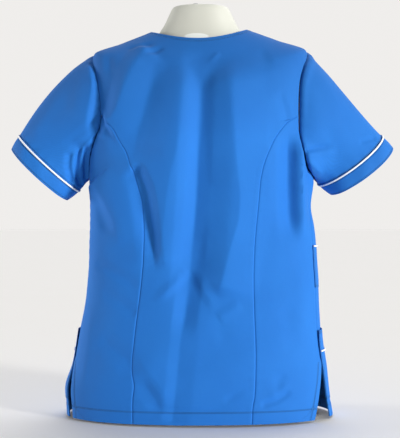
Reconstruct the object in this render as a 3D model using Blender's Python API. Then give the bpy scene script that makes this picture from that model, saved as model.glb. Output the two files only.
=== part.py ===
# Nurse tunic on a limbless torso form: short sleeves, princess seams, side vents and piped pockets.
# The back of the tunic faces +Y and the wearer's left is +X. The form's flat base stands on z = 0.
# Sizes are in metres. A point of the body cloth is given by its turn, an angle from the centre back
# (0) to the left side (90 degrees) and the centre front (180), and by its level, the height that
# its ring has at the centre back.

import bpy
import numpy as np

# cloth, seams and trims
WALL = 0.0014
SEAM_GAP = 0.0004
LAID_ON_GAP = 0.0006
CUFF_DEPTH = 0.029
PIPING_HALF_WIDTH = 0.0015
PIPING_HALF_THICKNESS = 0.0008
PIPING_SIDES = 6

# heights of the tunic's lines
HEM = 0.004
POCKET_FOOT = 0.036
VENT_TOP = 0.108
HIP_PIPING = 0.126
POCKET_MOUTH = 0.165
WAIST_POCKET_FOOT = 0.245
WAIST_PIPING = 0.3246
UPPER_START = 0.360
UNDERARM = 0.4526
BACK_JOIN = 0.566
FRONT_JOIN = 0.580
TIP_LEVEL = 0.640
NECK_LEVEL = 0.709
VEE_START = 0.600

# how finely the cloth is divided
ROW_STEP = 0.032
UPPER_ROWS = 5
ARMHOLE_LOW = 6
ARMHOLE_HIGH = 6
SHOULDER_ROWS = 4
CENTRE_COLUMNS = 14
SLEEVE_ROWS = 7
POCKET_COLUMNS = 5
WAIST_POCKET_COLUMNS = 3
SQUARENESS = 2.3

# how far each pocket mouth stands off its panel, and the share of that at the princess side
HIP_LIFT = 0.0030
WAIST_LIFT = 0.0012
LIFT_SHARE = 0.35

RING_COLUMNS = ("back_z", "left_z", "right_z", "front_z", "left", "right", "back", "front")

# the tunic's rings: heights at the back, sides and front, half widths, and depths from the side line
BODY_RINGS = (
    (0.004, 0.0040, 0.0040, 0.004, 0.2535, 0.2530, 0.112, 0.120),
    (0.050, 0.0500, 0.0500, 0.050, 0.2560, 0.2455, 0.109, 0.120),
    (0.100, 0.1000, 0.1000, 0.100, 0.2420, 0.2385, 0.106, 0.118),
    (0.165, 0.1650, 0.1650, 0.165, 0.2285, 0.2300, 0.100, 0.116),
    (0.240, 0.2400, 0.2400, 0.240, 0.2160, 0.2265, 0.093, 0.115),
    (0.310, 0.3100, 0.3100, 0.310, 0.2118, 0.2232, 0.089, 0.117),
    (0.360, 0.3600, 0.3600, 0.360, 0.2100, 0.2180, 0.090, 0.122),
    (0.400, 0.4000, 0.4000, 0.400, 0.2100, 0.2120, 0.094, 0.128),
    (0.453, 0.4530, 0.4530, 0.453, 0.2115, 0.2175, 0.099, 0.134),
    (0.510, 0.5380, 0.5420, 0.480, 0.2125, 0.2155, 0.104, 0.135),
    (0.560, 0.6200, 0.6260, 0.505, 0.2125, 0.2140, 0.103, 0.132),
    (0.610, 0.6680, 0.6750, 0.522, 0.2070, 0.2080, 0.097, 0.128),
    (0.640, 0.6886, 0.6960, 0.532, 0.2014, 0.2020, 0.089, 0.125),
    (0.676, 0.7090, 0.7160, 0.542, 0.1480, 0.1460, 0.074, 0.122),
    (0.709, 0.7295, 0.7350, 0.552, 0.0945, 0.0905, 0.060, 0.120),
)

# the form's rings, with the same columns; its shoulders come from the tunic's, set down by one wall
FORM_SHOULDER_DROP = 0.0020
FORM_LOW_RINGS = (
    (0.000, 0.000, 0.000, 0.000, 0.2000, 0.2000, 0.082, 0.084),
    (0.004, 0.004, 0.004, 0.004, 0.2035, 0.2035, 0.085, 0.087),
    (0.110, 0.110, 0.110, 0.110, 0.2080, 0.2080, 0.088, 0.094),
    (0.230, 0.230, 0.230, 0.230, 0.1880, 0.1900, 0.078, 0.090),
    (0.310, 0.310, 0.310, 0.310, 0.1700, 0.1720, 0.070, 0.087),
    (0.400, 0.400, 0.400, 0.400, 0.1800, 0.1810, 0.076, 0.106),
    (0.455, 0.455, 0.455, 0.455, 0.1860, 0.1880, 0.082, 0.114),
    (0.520, 0.540, 0.545, 0.480, 0.1880, 0.1900, 0.086, 0.116),
    (0.570, 0.612, 0.618, 0.504, 0.1900, 0.1910, 0.084, 0.108),
    (0.612, 0.656, 0.662, 0.518, 0.1920, 0.1930, 0.078, 0.100),
)
FORM_SHOULDER_LEVELS = (0.640, 0.660, 0.685)
FORM_SHOULDER_END_GAP = 0.0025
FORM_SHOULDER_BACK_GAP = 0.008
FORM_SHOULDER_FRONT_GAP = 0.012
FORM_NECK_RINGS = (
    (0.7050, 0.7170, 0.7215, 0.592, 0.0850, 0.0830, 0.050, 0.086),
    (0.7200, 0.7300, 0.7330, 0.642, 0.0775, 0.0770, 0.046, 0.069),
    (0.7400, 0.7450, 0.7470, 0.702, 0.0680, 0.0695, 0.044, 0.053),
    (0.7680, 0.7680, 0.7680, 0.758, 0.0570, 0.0590, 0.042, 0.044),
    (0.7765, 0.7765, 0.7765, 0.7745, 0.0520, 0.0540, 0.039, 0.039),
    (0.7790, 0.7790, 0.7790, 0.7790, 0.0450, 0.0470, 0.033, 0.033),
)
FORM_VEE_END = 0.700
FORM_NECK_ROUND = 0.745
FORM_TURNS = 32
FORM_ROW_STEP = 0.045
FERRULE_X = 0.008
FERRULE_RADIUS = 0.007
FERRULE_HEIGHT = 0.007
FERRULE_EDGE = 0.0012
FERRULE_SIDES = 20

# the back princess seam of each side: height and distance from the centre
PRINCESS_LEFT = (
    (0.004, 0.1220), (0.043, 0.1222), (0.065, 0.1201), (0.103, 0.1238), (0.127, 0.1227), (0.163, 0.1190),
    (0.227, 0.1110), (0.274, 0.1061), (0.301, 0.1044), (0.336, 0.1035), (0.396, 0.1065), (0.436, 0.1165),
    (0.474, 0.1278), (0.497, 0.1373), (0.517, 0.1486), (0.545, 0.1610),
)
PRINCESS_RIGHT = (
    (0.004, 0.0930), (0.034, 0.0948), (0.055, 0.0985), (0.092, 0.1003), (0.162, 0.1002), (0.217, 0.0984),
    (0.263, 0.0975), (0.312, 0.0986), (0.354, 0.1011), (0.409, 0.1056), (0.441, 0.1081), (0.463, 0.1121),
    (0.480, 0.1170), (0.500, 0.1256), (0.523, 0.1376), (0.543, 0.1527), (0.553, 0.1624),
)
# the front princess seam, the same on both sides
PRINCESS_FRONT = (
    (0.004, 0.1150), (0.120, 0.1120), (0.220, 0.1040), (0.310, 0.0980), (0.400, 0.1000), (0.460, 0.1060),
    (0.510, 0.1200), (0.545, 0.1400), (0.565, 0.1570),
)

# armhole seams between the underarm and the shoulder tip: height and distance from the centre
ARMHOLE_BACK_LEFT = (
    (0.480, 0.2090), (0.509, 0.2010), (0.5365, 0.1905), (0.561, 0.1855), (0.583, 0.1850),
    (0.6205, 0.1897), (0.647, 0.1955),
)
ARMHOLE_BACK_RIGHT = (
    (0.4723, 0.1960), (0.4954, 0.1860), (0.5122, 0.1843), (0.5626, 0.1832), (0.5962, 0.1836),
    (0.6261, 0.1860), (0.656, 0.1930),
)
ARMHOLE_FRONT = (
    (0.4680, 0.1960), (0.4900, 0.1830), (0.5300, 0.1760), (0.5800, 0.1750), (0.6200, 0.1790),
    (0.6550, 0.1880),
)

# side seams above the vents, as turns in degrees
SIDE_SEAM_COLUMNS = ("height", "left", "right")
SIDE_SEAMS = (
    (0.108, 80.0, 69.0),
    (0.320, 84.0, 69.0),
    (0.420, 87.0, 76.0),
    (0.4526, 88.0, 82.0),
)
# how far each vent edge turns away from the seam line below it, in degrees
VENT_COLUMNS = ("height", "left_back", "left_front", "right_back", "right_front")
VENT_EDGES = (
    (0.004, -15.0, -9.0, -16.0, 1.0),
    (0.057, -13.5, -7.0, -7.5, 1.0),
    (0.108, 0.0, 0.0, 0.0, 0.0),
)

# each sleeve: hem corners as distance out and height, how steeply it starts at the shoulder and falls at
# the hem, in degrees, and how far the hem dips at the back
SLEEVE_MIDDLE_Y = -0.005
SLEEVE_HALF_DEPTH = 0.044
SLEEVES = {
    "left": {"outer": (0.3607, 0.5087), "inner": (0.2559, 0.4106), "start": 29.0, "fall_outer": 60.0,
             "fall_inner": 38.0, "dip": 0.005},
    "right": {"outer": (0.3680, 0.5125), "inner": (0.2520, 0.4210), "start": 44.0, "fall_outer": 46.0,
              "fall_inner": 40.0, "dip": 0.014},
}
SLEEVE_START_UNDER = 44.0
SLEEVE_HEAD_FULLNESS = 0.30
MITRE_LIMIT = 0.38

# the largest folds of the back: two ends, half width, and how far the cloth moves out (or in, below 0)
FOLD_COLUMNS = ("x_top", "z_top", "x_foot", "z_foot", "half_width", "out")
FOLDS = (
    (-0.030, 0.660, -0.022, 0.330, 0.022, -0.0060),
    (0.016, 0.600, 0.026, 0.120, 0.014, 0.0030),
    (-0.177, 0.545, -0.174, 0.345, 0.013, -0.0070),
    (0.124, 0.470, 0.080, 0.300, 0.014, -0.0045),
    (0.066, 0.630, 0.052, 0.450, 0.022, -0.0040),
    (0.194, 0.420, 0.150, 0.330, 0.014, -0.0040),
)

CLOTH_BLUE = (0.026, 0.188, 0.644, 1.0)
PIPING_WHITE = (0.86, 0.88, 0.90, 1.0)
FORM_WHITE = (0.74, 0.74, 0.68, 1.0)
FERRULE_STEEL = (0.30, 0.30, 0.31, 1.0)

FOLD_END = 0.7
NORMAL_STEP = 0.0005
LOCATE_ROUNDS = 60
LOCATE_SHARE = 0.6
SHARP_ANGLE = 50.0
SIDE_SIGN = {"left": 1.0, "right": -1.0}


def smooth(knots, values, at):
    """Value at a place between a table's rows, on a cubic that never overshoots them."""
    knots = np.asarray(knots, dtype=float)
    values = np.asarray(values, dtype=float)
    at = np.clip(at, knots[0], knots[-1])
    step = np.diff(knots)
    rise = np.diff(values) / step
    slope = np.zeros_like(values)
    slope[0] = rise[0]
    slope[-1] = rise[-1]
    before, after = rise[:-1], rise[1:]
    same_way = before * after > 0
    weight_before = 2 * step[1:] + step[:-1]
    weight_after = step[1:] + 2 * step[:-1]
    with np.errstate(divide="ignore", invalid="ignore"):
        mean = (weight_before + weight_after) / (weight_before / before + weight_after / after)
    slope[1:-1] = np.where(same_way, mean, 0.0)
    row = np.clip(np.searchsorted(knots, at, side="right") - 1, 0, len(step) - 1)
    part = (at - knots[row]) / step[row]
    start = values[row] * (1 + 2 * part) * (1 - part) ** 2
    end = values[row + 1] * part ** 2 * (3 - 2 * part)
    lean = step[row] * part * (1 - part) * (slope[row] * (1 - part) - slope[row + 1] * part)
    return start + end + lean


def column(table, columns, name, at):
    """One named column of a table at a place along its first column."""
    rows = np.array(table)
    return smooth(rows[:, 0], rows[:, columns.index(name)], at)


def unit(vectors):
    length = np.linalg.norm(vectors, axis=-1, keepdims=True)
    return vectors / np.maximum(length, 1e-12)


def ring_point(table, turn, level, vee):
    """Point of a ringed body: superellipse rings whose height differs at the back, sides and front."""
    turn, level = np.broadcast_arrays(np.asarray(turn, dtype=float), np.asarray(level, dtype=float))
    across = np.sin(turn)
    along = np.cos(turn)
    reach = (np.abs(across) ** SQUARENESS + np.abs(along) ** SQUARENESS) ** (-1 / SQUARENESS)
    on_left = across > 0
    on_back = along > 0

    def at_level(name):
        return column(table, RING_COLUMNS, name, level)

    half = np.where(on_left, at_level("left"), at_level("right"))
    depth = np.where(on_back, at_level("back"), at_level("front"))
    side_z = np.where(on_left, at_level("left_z"), at_level("right_z"))
    middle_z = np.where(on_back, level, at_level("front_z"))
    straight = np.where(on_back, 0.0, vee)
    share = (1 - straight) * along ** 2 + straight * (1 - np.abs(across))
    forward = along * ((1 - straight) * reach + straight * np.abs(along))
    return np.stack((half * across * reach, depth * forward, side_z + (middle_z - side_z) * share), -1)


def fold_push(point):
    """How far the folds of the back move the cloth out at a point."""
    push = np.zeros(point.shape[:-1])
    for row in FOLDS:
        fold = dict(zip(FOLD_COLUMNS, row))
        start = np.array((fold["x_top"], fold["z_top"]))
        run = np.array((fold["x_foot"], fold["z_foot"])) - start
        length = np.linalg.norm(run)
        away = point[..., (0, 2)] - start
        along = away @ run / length ** 2
        across = (away[..., 0] * run[1] - away[..., 1] * run[0]) / length
        ends = np.sin(np.pi * np.clip(along, 0, 1)) ** FOLD_END
        push += fold["out"] * ends * np.exp(-(across / fold["half_width"]) ** 2)
    return push * (point[..., 1] > 0)


def vee_share(level):
    """How far the front of a ring follows the straight V of the neckline."""
    return np.clip((level - VEE_START) / (NECK_LEVEL - VEE_START), 0, 1) ** 2


def body_point(turn, level):
    """Point of the tunic's body cloth, folds included."""
    level = np.asarray(level, dtype=float)
    point = ring_point(BODY_RINGS, turn, level, vee_share(level))
    half = np.where(point[..., 0] > 0, column(BODY_RINGS, RING_COLUMNS, "left", level),
                    column(BODY_RINGS, RING_COLUMNS, "right", level))
    depth = column(BODY_RINGS, RING_COLUMNS, "back", level)
    outward = unit(np.stack((point[..., 0] / half ** 2, point[..., 1] / depth ** 2), -1))
    point[..., :2] += outward * fold_push(point)[..., None]
    return point


def body_normal(turn, level):
    """Outward direction of the body cloth, from points close beside this one."""
    low = np.maximum(np.asarray(level) - NORMAL_STEP, BODY_RINGS[0][0])
    high = np.minimum(np.asarray(level) + NORMAL_STEP, BODY_RINGS[-1][0])
    around = body_point(turn + NORMAL_STEP, level) - body_point(turn - NORMAL_STEP, level)
    upward = body_point(turn, high) - body_point(turn, low)
    return unit(np.cross(around, upward)) * -1.0


def locate(x, z, side, face):
    """Turn and level of the cloth point at a distance from the centre and a height, on one face."""
    x = np.asarray(x, dtype=float)
    z = np.asarray(z, dtype=float)
    level = np.clip(z, BODY_RINGS[0][0], NECK_LEVEL)
    for _ in range(LOCATE_ROUNDS):
        share = np.clip(x / column(BODY_RINGS, RING_COLUMNS, side, level), 0, 1)
        rest = (1 - share ** SQUARENESS) ** (1 / SQUARENESS)
        turn = np.arctan2(share, rest if face == "back" else -rest) * SIDE_SIGN[side]
        height = body_point(turn, level)[..., 2]
        level = np.clip(level + LOCATE_SHARE * (z - height), BODY_RINGS[0][0], TIP_LEVEL)
    return turn, level


def side_turn(side, face, level):
    """Turn of the side seam, or below the vent's top of one vent edge."""
    degrees = column(SIDE_SEAMS, SIDE_SEAM_COLUMNS, side, level)
    degrees = degrees + column(VENT_EDGES, VENT_COLUMNS, side + "_" + face, level)
    return np.radians(degrees) * SIDE_SIGN[side]


def armhole_table(side, face):
    if face == "front":
        return np.array(ARMHOLE_FRONT)
    return np.array(ARMHOLE_BACK_LEFT if side == "left" else ARMHOLE_BACK_RIGHT)


def armhole_curve(side, face):
    """Turns and levels along one half of the armhole, from the underarm to the seam join and the tip."""
    table = armhole_table(side, face)
    turn, level = locate(table[:, 1], table[:, 0], side, face)
    turn = np.concatenate(([side_turn(side, face, UNDERARM)], turn, [np.pi / 2 * SIDE_SIGN[side]]))
    level = np.concatenate(([UNDERARM], level, [TIP_LEVEL]))
    points = body_point(turn, level)
    run = np.concatenate(([0.0], np.cumsum(np.linalg.norm(np.diff(points, axis=0), axis=1))))
    heights = points[:, 2]
    join = np.interp(BACK_JOIN if face == "back" else FRONT_JOIN, heights, run)
    low_stops = np.linspace(0, join, ARMHOLE_LOW + 1)
    high_stops = np.linspace(join, run[-1], ARMHOLE_HIGH + 1)[1:]
    stops = np.concatenate((low_stops, high_stops))
    return smooth(run, turn, stops), smooth(run, level, stops)


def princess_curve(side, face, low_levels):
    """Turns and levels up the princess seam, from the hem to its join with the armhole."""
    if face == "front":
        table = np.array(PRINCESS_FRONT)
    else:
        table = np.array(PRINCESS_LEFT if side == "left" else PRINCESS_RIGHT)
    turn, level = locate(table[:, 1], table[:, 0], side, face)
    hole_turn, hole_level = armhole_curve(side, face)
    turn = np.append(turn, hole_turn[ARMHOLE_LOW])
    level = np.append(level, hole_level[ARMHOLE_LOW])
    level[0] = HEM
    high_levels = np.linspace(UPPER_START, level[-1], UPPER_ROWS + 1)[1:]
    rows = np.concatenate((low_levels, high_levels))
    return smooth(level, turn, rows), rows


def low_rows():
    """Levels of the rows from the hem to the waist, with a row on every named line."""
    lines = (HEM, POCKET_FOOT, VENT_TOP, HIP_PIPING, POCKET_MOUTH, WAIST_POCKET_FOOT, WAIST_PIPING,
             UPPER_START)
    levels = [HEM]
    for low, high in zip(lines[:-1], lines[1:]):
        count = max(1, int(round((high - low) / ROW_STEP)))
        levels.extend(np.linspace(low, high, count + 1)[1:])
    return np.array(levels)


LOW_ROWS = low_rows()


def side_panel_grid(side, face):
    """Turns and levels of a side panel: rows from the hem to the armhole, columns from princess to side."""
    seam_turn = princess_curve(side, face, LOW_ROWS)[0]
    hole_turn, hole_level = armhole_curve(side, face)
    top_turn = hole_turn[:ARMHOLE_LOW + 1][::-1]
    top_level = hole_level[:ARMHOLE_LOW + 1][::-1]
    climb = np.concatenate((np.zeros(len(LOW_ROWS)), np.linspace(0, 1, UPPER_ROWS + 1)[1:]))[:, None]
    across = np.linspace(0, 1, ARMHOLE_LOW + 1)[None, :]
    low = np.concatenate((LOW_ROWS, np.full(UPPER_ROWS, UPPER_START)))[:, None]
    level = low + (top_level[None, :] - UPPER_START) * climb
    edge_turn = side_turn(side, face, level[:, -1])
    turn = seam_turn[:, None] * (1 - across) + edge_turn[:, None] * across
    straight_top = top_turn[0] * (1 - across) + top_turn[-1] * across
    turn = turn + (top_turn[None, :] - straight_top) * climb ** 2
    return turn, level


def centre_panel_grid(face):
    """Turns and levels of a centre panel: up the princess seams, armholes and shoulders to the neck."""
    edges = {}
    for side in ("left", "right"):
        seam_turn, seam_level = princess_curve(side, face, LOW_ROWS)
        hole_turn, hole_level = armhole_curve(side, face)
        shoulder = np.linspace(TIP_LEVEL, NECK_LEVEL, SHOULDER_ROWS + 1)[1:]
        turn = np.concatenate((seam_turn, hole_turn[ARMHOLE_LOW + 1:],
                               np.full(SHOULDER_ROWS, np.pi / 2 * SIDE_SIGN[side])))
        level = np.concatenate((seam_level, hole_level[ARMHOLE_LOW + 1:], shoulder))
        edges[side] = (turn, level)
    across = np.linspace(0, 1, CENTRE_COLUMNS + 1)[None, :]
    left_turn, left_level = edges["left"]
    right_turn, right_level = edges["right"]
    if face == "front":
        right_turn = right_turn + 2 * np.pi
    turn = left_turn[:, None] * (1 - across) + right_turn[:, None] * across
    level = left_level[:, None] * (1 - across) + right_level[:, None] * across
    return turn, level


def sleeve_direction(side, degrees):
    """Unit direction that falls by an angle, out to one side."""
    angle = np.radians(degrees)
    return np.stack((np.cos(angle) * SIDE_SIGN[side], np.zeros_like(angle), -np.sin(angle)), -1)


def sleeve_rings(side):
    """Rings of a sleeve from the armhole to the cuff seam, and the cuff's two rings."""
    back_turn, back_level = armhole_curve(side, "back")
    front_turn, front_level = armhole_curve(side, "front")
    turn = np.concatenate((back_turn, front_turn[::-1][1:-1]))
    level = np.concatenate((back_level, front_level[::-1][1:-1]))
    hole = body_point(turn, level)
    count = ARMHOLE_LOW + ARMHOLE_HIGH
    half_way = np.linspace(0, np.pi, count + 1)
    angle = np.concatenate((np.pi - half_way, -half_way[1:-1]))
    size = SLEEVES[side]
    outer = np.array((size["outer"][0] * SIDE_SIGN[side], SLEEVE_MIDDLE_Y, size["outer"][1]))
    inner = np.array((size["inner"][0] * SIDE_SIGN[side], SLEEVE_MIDDLE_Y, size["inner"][1]))
    deep = np.array((0.0, SLEEVE_HALF_DEPTH, 0.0))
    top_share = (1 + np.cos(angle)) / 2
    fall = size["fall_inner"] + (size["fall_outer"] - size["fall_inner"]) * top_share
    end_way = sleeve_direction(side, fall)
    hem = (outer + inner) / 2 + (outer - inner) / 2 * np.cos(angle)[:, None]
    hem = hem + (deep + end_way * size["dip"]) * np.sin(angle)[:, None]
    seam = hem - end_way * CUFF_DEPTH
    start_fall = SLEEVE_START_UNDER + (size["start"] - SLEEVE_START_UNDER) * top_share ** 2
    start_way = sleeve_direction(side, start_fall)
    start_way[:, 1] += SLEEVE_HEAD_FULLNESS * np.sin(angle)
    start_way = unit(start_way)
    reach = np.linalg.norm(seam - hole, axis=1)[:, None] / 3
    rings = []
    for part in np.linspace(0, 1, SLEEVE_ROWS + 1):
        near = hole * (1 - part) ** 3 + 3 * (hole + start_way * reach) * (1 - part) ** 2 * part
        far = 3 * (seam - end_way * reach) * (1 - part) * part ** 2 + seam * part ** 3
        rings.append(near + far)
    return np.array(rings), np.array((seam, (seam + hem) / 2, hem)), body_normal(turn, level)


def ring_normals(rings, outward_of):
    """Outward directions of a tube of rings, turned away from the middle of each ring."""
    around = np.roll(rings, -1, axis=1) - np.roll(rings, 1, axis=1)
    down = np.gradient(rings, axis=0)
    normals = unit(np.cross(around, down))
    away = rings - outward_of
    flip = np.sign(np.sum(normals * away, axis=-1, keepdims=True))
    return normals * np.where(flip == 0, 1.0, flip)


def mitre(first, second):
    """Shared direction of two walls that meet at a seam, long enough to keep both their thicknesses."""
    middle = unit(first + second)
    return middle / np.maximum(np.sum(middle * first, axis=-1, keepdims=True), MITRE_LIMIT)


def sleeve_parts(side):
    """Points and directions of a sleeve and its cuff, and the shared directions round the armhole."""
    sleeve, cuff, hole_normal = sleeve_rings(side)
    rings = np.concatenate((sleeve, cuff[1:]))
    normals = ring_normals(rings, rings.mean(axis=1, keepdims=True))
    normals[0] = mitre(hole_normal, normals[0])
    return sleeve, normals[:SLEEVE_ROWS + 1], cuff, normals[SLEEVE_ROWS:]


def pull_in(points, mitres, around):
    """The grid with its borders moved in by half a seam gap, square to each border, more at a sharp mitre."""
    moved = points.copy()

    def inset(border, inner, stretch):
        along = unit(np.gradient(border, axis=0))
        inward = inner - border
        inward = inward - np.sum(inward * along, axis=-1, keepdims=True) * along
        return unit(inward) * stretch[:, None] * SEAM_GAP / 2

    moved[0] += inset(points[0], points[1], mitres[0])
    moved[-1] += inset(points[-1], points[-2], mitres[-1])
    if not around:
        moved[:, 0] += inset(points[:, 0], points[:, 1], mitres[:, 0])
        moved[:, -1] += inset(points[:, -1], points[:, -2], mitres[:, -1])
    return moved


def make_object(name, vertices, faces, material):
    mesh = bpy.data.meshes.new(name)
    mesh.from_pydata([tuple(map(float, vertex)) for vertex in vertices], [], faces)
    mesh.validate()
    mesh.shade_smooth()
    mesh.set_sharp_from_angle(angle=np.radians(SHARP_ANGLE))
    mesh.materials.append(material)
    thing = bpy.data.objects.new(name, mesh)
    bpy.context.collection.objects.link(thing)
    return thing


def signed_volume(vertices, faces):
    """Volume inside a closed mesh, below 0 where its faces point in."""
    total = 0.0
    for face in faces:
        first = vertices[face[0]]
        for second, third in zip(face[1:-1], face[2:]):
            total += np.dot(first, np.cross(vertices[second], vertices[third]))
    return total / 6


def facing_out(vertices, faces):
    if signed_volume(vertices, faces) < 0:
        return [tuple(reversed(face)) for face in faces]
    return faces


def make_wall(name, points, directions, material, around=False):
    """A closed wall: the grid of outer points, the same grid moved in, and strips along the borders."""
    rows, columns = points.shape[:2]
    mitres = np.linalg.norm(directions, axis=-1)
    outer = pull_in(points, mitres, around)
    inner = pull_in(points - directions * WALL, mitres, around)
    vertices = np.concatenate((outer.reshape(-1, 3), inner.reshape(-1, 3)))
    outer_points = points.reshape(-1, 3)
    behind = rows * columns
    last = columns if around else columns - 1
    faces = []
    for row in range(rows - 1):
        for place in range(last):
            beside = (place + 1) % columns
            a, b = row * columns + place, row * columns + beside
            c, d = (row + 1) * columns + beside, (row + 1) * columns + place
            rising = np.linalg.norm(outer_points[a] - outer_points[c])
            falling = np.linalg.norm(outer_points[b] - outer_points[d])
            if rising < falling:
                halves = ((a, b, c), (a, c, d))
            else:
                halves = ((a, b, d), (b, c, d))
            for one, two, three in halves:
                faces.append((one, two, three))
                faces.append((behind + three, behind + two, behind + one))
    for place in range(last):
        beside = (place + 1) % columns
        top = (rows - 1) * columns
        faces.append((beside, place, behind + place, behind + beside))
        faces.append((top + place, top + beside, behind + top + beside, behind + top + place))
    if not around:
        for row in range(rows - 1):
            a, b = row * columns, (row + 1) * columns
            c, d = a + columns - 1, b + columns - 1
            faces.append((a, b, behind + b, behind + a))
            faces.append((d, c, behind + c, behind + d))
    return make_object(name, vertices, facing_out(vertices, faces), material)


def make_piping(name, path, out, across, material, closed):
    """A flat round cord along a path: out is the way off the cloth, across is the cord's width."""
    angle = np.arange(PIPING_SIDES) * 2 * np.pi / PIPING_SIDES
    flat = across[:, None] * np.cos(angle)[None, :, None] * PIPING_HALF_WIDTH
    thick = out[:, None] * np.sin(angle)[None, :, None] * PIPING_HALF_THICKNESS
    rings = path[:, None] + flat + thick
    count = len(path)
    vertices = rings.reshape(-1, 3)
    faces = []
    for place in range(count if closed else count - 1):
        beside = (place + 1) % count
        for corner in range(PIPING_SIDES):
            after = (corner + 1) % PIPING_SIDES
            faces.append((place * PIPING_SIDES + corner, place * PIPING_SIDES + after,
                          beside * PIPING_SIDES + after, beside * PIPING_SIDES + corner))
    if not closed:
        faces.append(tuple(range(PIPING_SIDES))[::-1])
        faces.append(tuple((count - 1) * PIPING_SIDES + corner for corner in range(PIPING_SIDES)))
    return make_object(name, vertices, facing_out(vertices, faces), material)


def make_material(name, colour, roughness, metallic=0.0):
    material = bpy.data.materials.new(name)
    material.use_nodes = True
    shader = material.node_tree.nodes["Principled BSDF"]
    shader.inputs["Base Color"].default_value = colour
    shader.inputs["Roughness"].default_value = roughness
    shader.inputs["Metallic"].default_value = metallic
    material.diffuse_color = colour
    return material


def build_centre_panels(cloth, hole_directions):
    for face in ("back", "front"):
        turn, level = centre_panel_grid(face)
        points = body_point(turn, level)
        directions = body_normal(turn, level)
        first = len(LOW_ROWS) + UPPER_ROWS - 1
        for side, place in (("left", 0), ("right", -1)):
            shared = hole_directions[side][face][ARMHOLE_LOW:]
            directions[first:first + len(shared), place] = shared
        make_wall(face + "_centre", points, directions, cloth)


def build_side_panels(cloth, hole_directions):
    """The four side panels; the front ones give their points to the pockets."""
    grids = {}
    for face in ("back", "front"):
        for side in ("left", "right"):
            turn, level = side_panel_grid(side, face)
            points = body_point(turn, level)
            directions = body_normal(turn, level)
            directions[-1] = hole_directions[side][face][:ARMHOLE_LOW + 1][::-1]
            make_wall(face + "_side_" + side, points, directions, cloth)
            grids[face, side] = (points, directions)
    return grids


def build_sleeves(cloth, piping, parts):
    for side, (sleeve, sleeve_out, cuff, cuff_out) in parts.items():
        make_wall("sleeve_" + side, sleeve, sleeve_out, cloth, around=True)
        make_wall("cuff_" + side, cuff, cuff_out, cloth, around=True)
        out = unit(cuff_out[0])
        stand_off = LAID_ON_GAP + PIPING_HALF_THICKNESS
        across = unit(cuff[1] - cuff[0])
        make_piping("sleeve_piping_" + side, cuff[0] + out * stand_off, out, across, piping, closed=True)


def row_of(level):
    return int(np.argmin(np.abs(LOW_ROWS - level)))


def lifted(points, directions, lift):
    return points + directions * (LAID_ON_GAP + lift[..., None] + WALL)


def build_pocket(names, grid, foot, mouth, seam, columns, lift_at_mouth, cloth, piping):
    """A patch pocket from its panel's own points moved out, with piping along one line."""
    points, directions = grid
    first, last = row_of(foot), row_of(mouth)
    points = points[first:last + 1, -1 - columns:]
    directions = directions[first:last + 1, -1 - columns:]
    climb = np.linspace(0, 1, last - first + 1)[:, None]
    toward_side = np.linspace(0, 1, columns + 1)[None, :]
    lift = lift_at_mouth * climb ** 2 * (LIFT_SHARE + (1 - LIFT_SHARE) * toward_side ** 2)
    outer = lifted(points, directions, lift)
    seam_row = row_of(seam) - first
    make_wall(names["pocket"], outer[:seam_row + 1], directions[:seam_row + 1], cloth)
    if "band" in names:
        make_wall(names["band"], outer[seam_row:], directions[seam_row:], cloth)
    down = unit(outer[seam_row - 1] - outer[seam_row])
    path = outer[seam_row] + directions[seam_row] * (LAID_ON_GAP + PIPING_HALF_THICKNESS)
    if "band" not in names:
        path = path + down * PIPING_HALF_WIDTH
    make_piping(names["piping"], path, directions[seam_row], down, piping, closed=False)


def build_pockets(cloth, piping, grids):
    for side in ("left", "right"):
        names = {"pocket": "pocket_" + side, "band": "pocket_band_" + side,
                 "piping": "pocket_piping_" + side}
        build_pocket(names, grids["front", side], POCKET_FOOT, POCKET_MOUTH, HIP_PIPING, POCKET_COLUMNS,
                     HIP_LIFT, cloth, piping)
    names = {"pocket": "waist_pocket_right", "piping": "waist_pocket_piping_right"}
    build_pocket(names, grids["front", "right"], WAIST_POCKET_FOOT, WAIST_PIPING, WAIST_PIPING,
                 WAIST_POCKET_COLUMNS, WAIST_LIFT, cloth, piping)


def form_rings():
    """The form's ring table: hips to chest, shoulders under the tunic's own, and the neck."""
    rows = list(FORM_LOW_RINGS)
    for level in FORM_SHOULDER_LEVELS:
        ring = {name: float(column(BODY_RINGS, RING_COLUMNS, name, level)) for name in RING_COLUMNS}
        rows.append((level, ring["left_z"] - FORM_SHOULDER_DROP, ring["right_z"] - FORM_SHOULDER_DROP,
                     ring["front_z"] - FORM_SHOULDER_DROP, ring["left"] - FORM_SHOULDER_END_GAP,
                     ring["right"] - FORM_SHOULDER_END_GAP, ring["back"] - FORM_SHOULDER_BACK_GAP,
                     ring["front"] - FORM_SHOULDER_FRONT_GAP))
    rows.extend(FORM_NECK_RINGS)
    return tuple(rows)


def form_levels(table):
    """Levels of the form's rows: one at each table row and some between."""
    levels = []
    for low, high in zip(table[:-1], table[1:]):
        count = max(1, int(round((high[0] - low[0]) / FORM_ROW_STEP)))
        levels.extend(np.linspace(low[0], high[0], count + 1)[:-1])
    return np.array(levels + [table[-1][0]])


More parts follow.
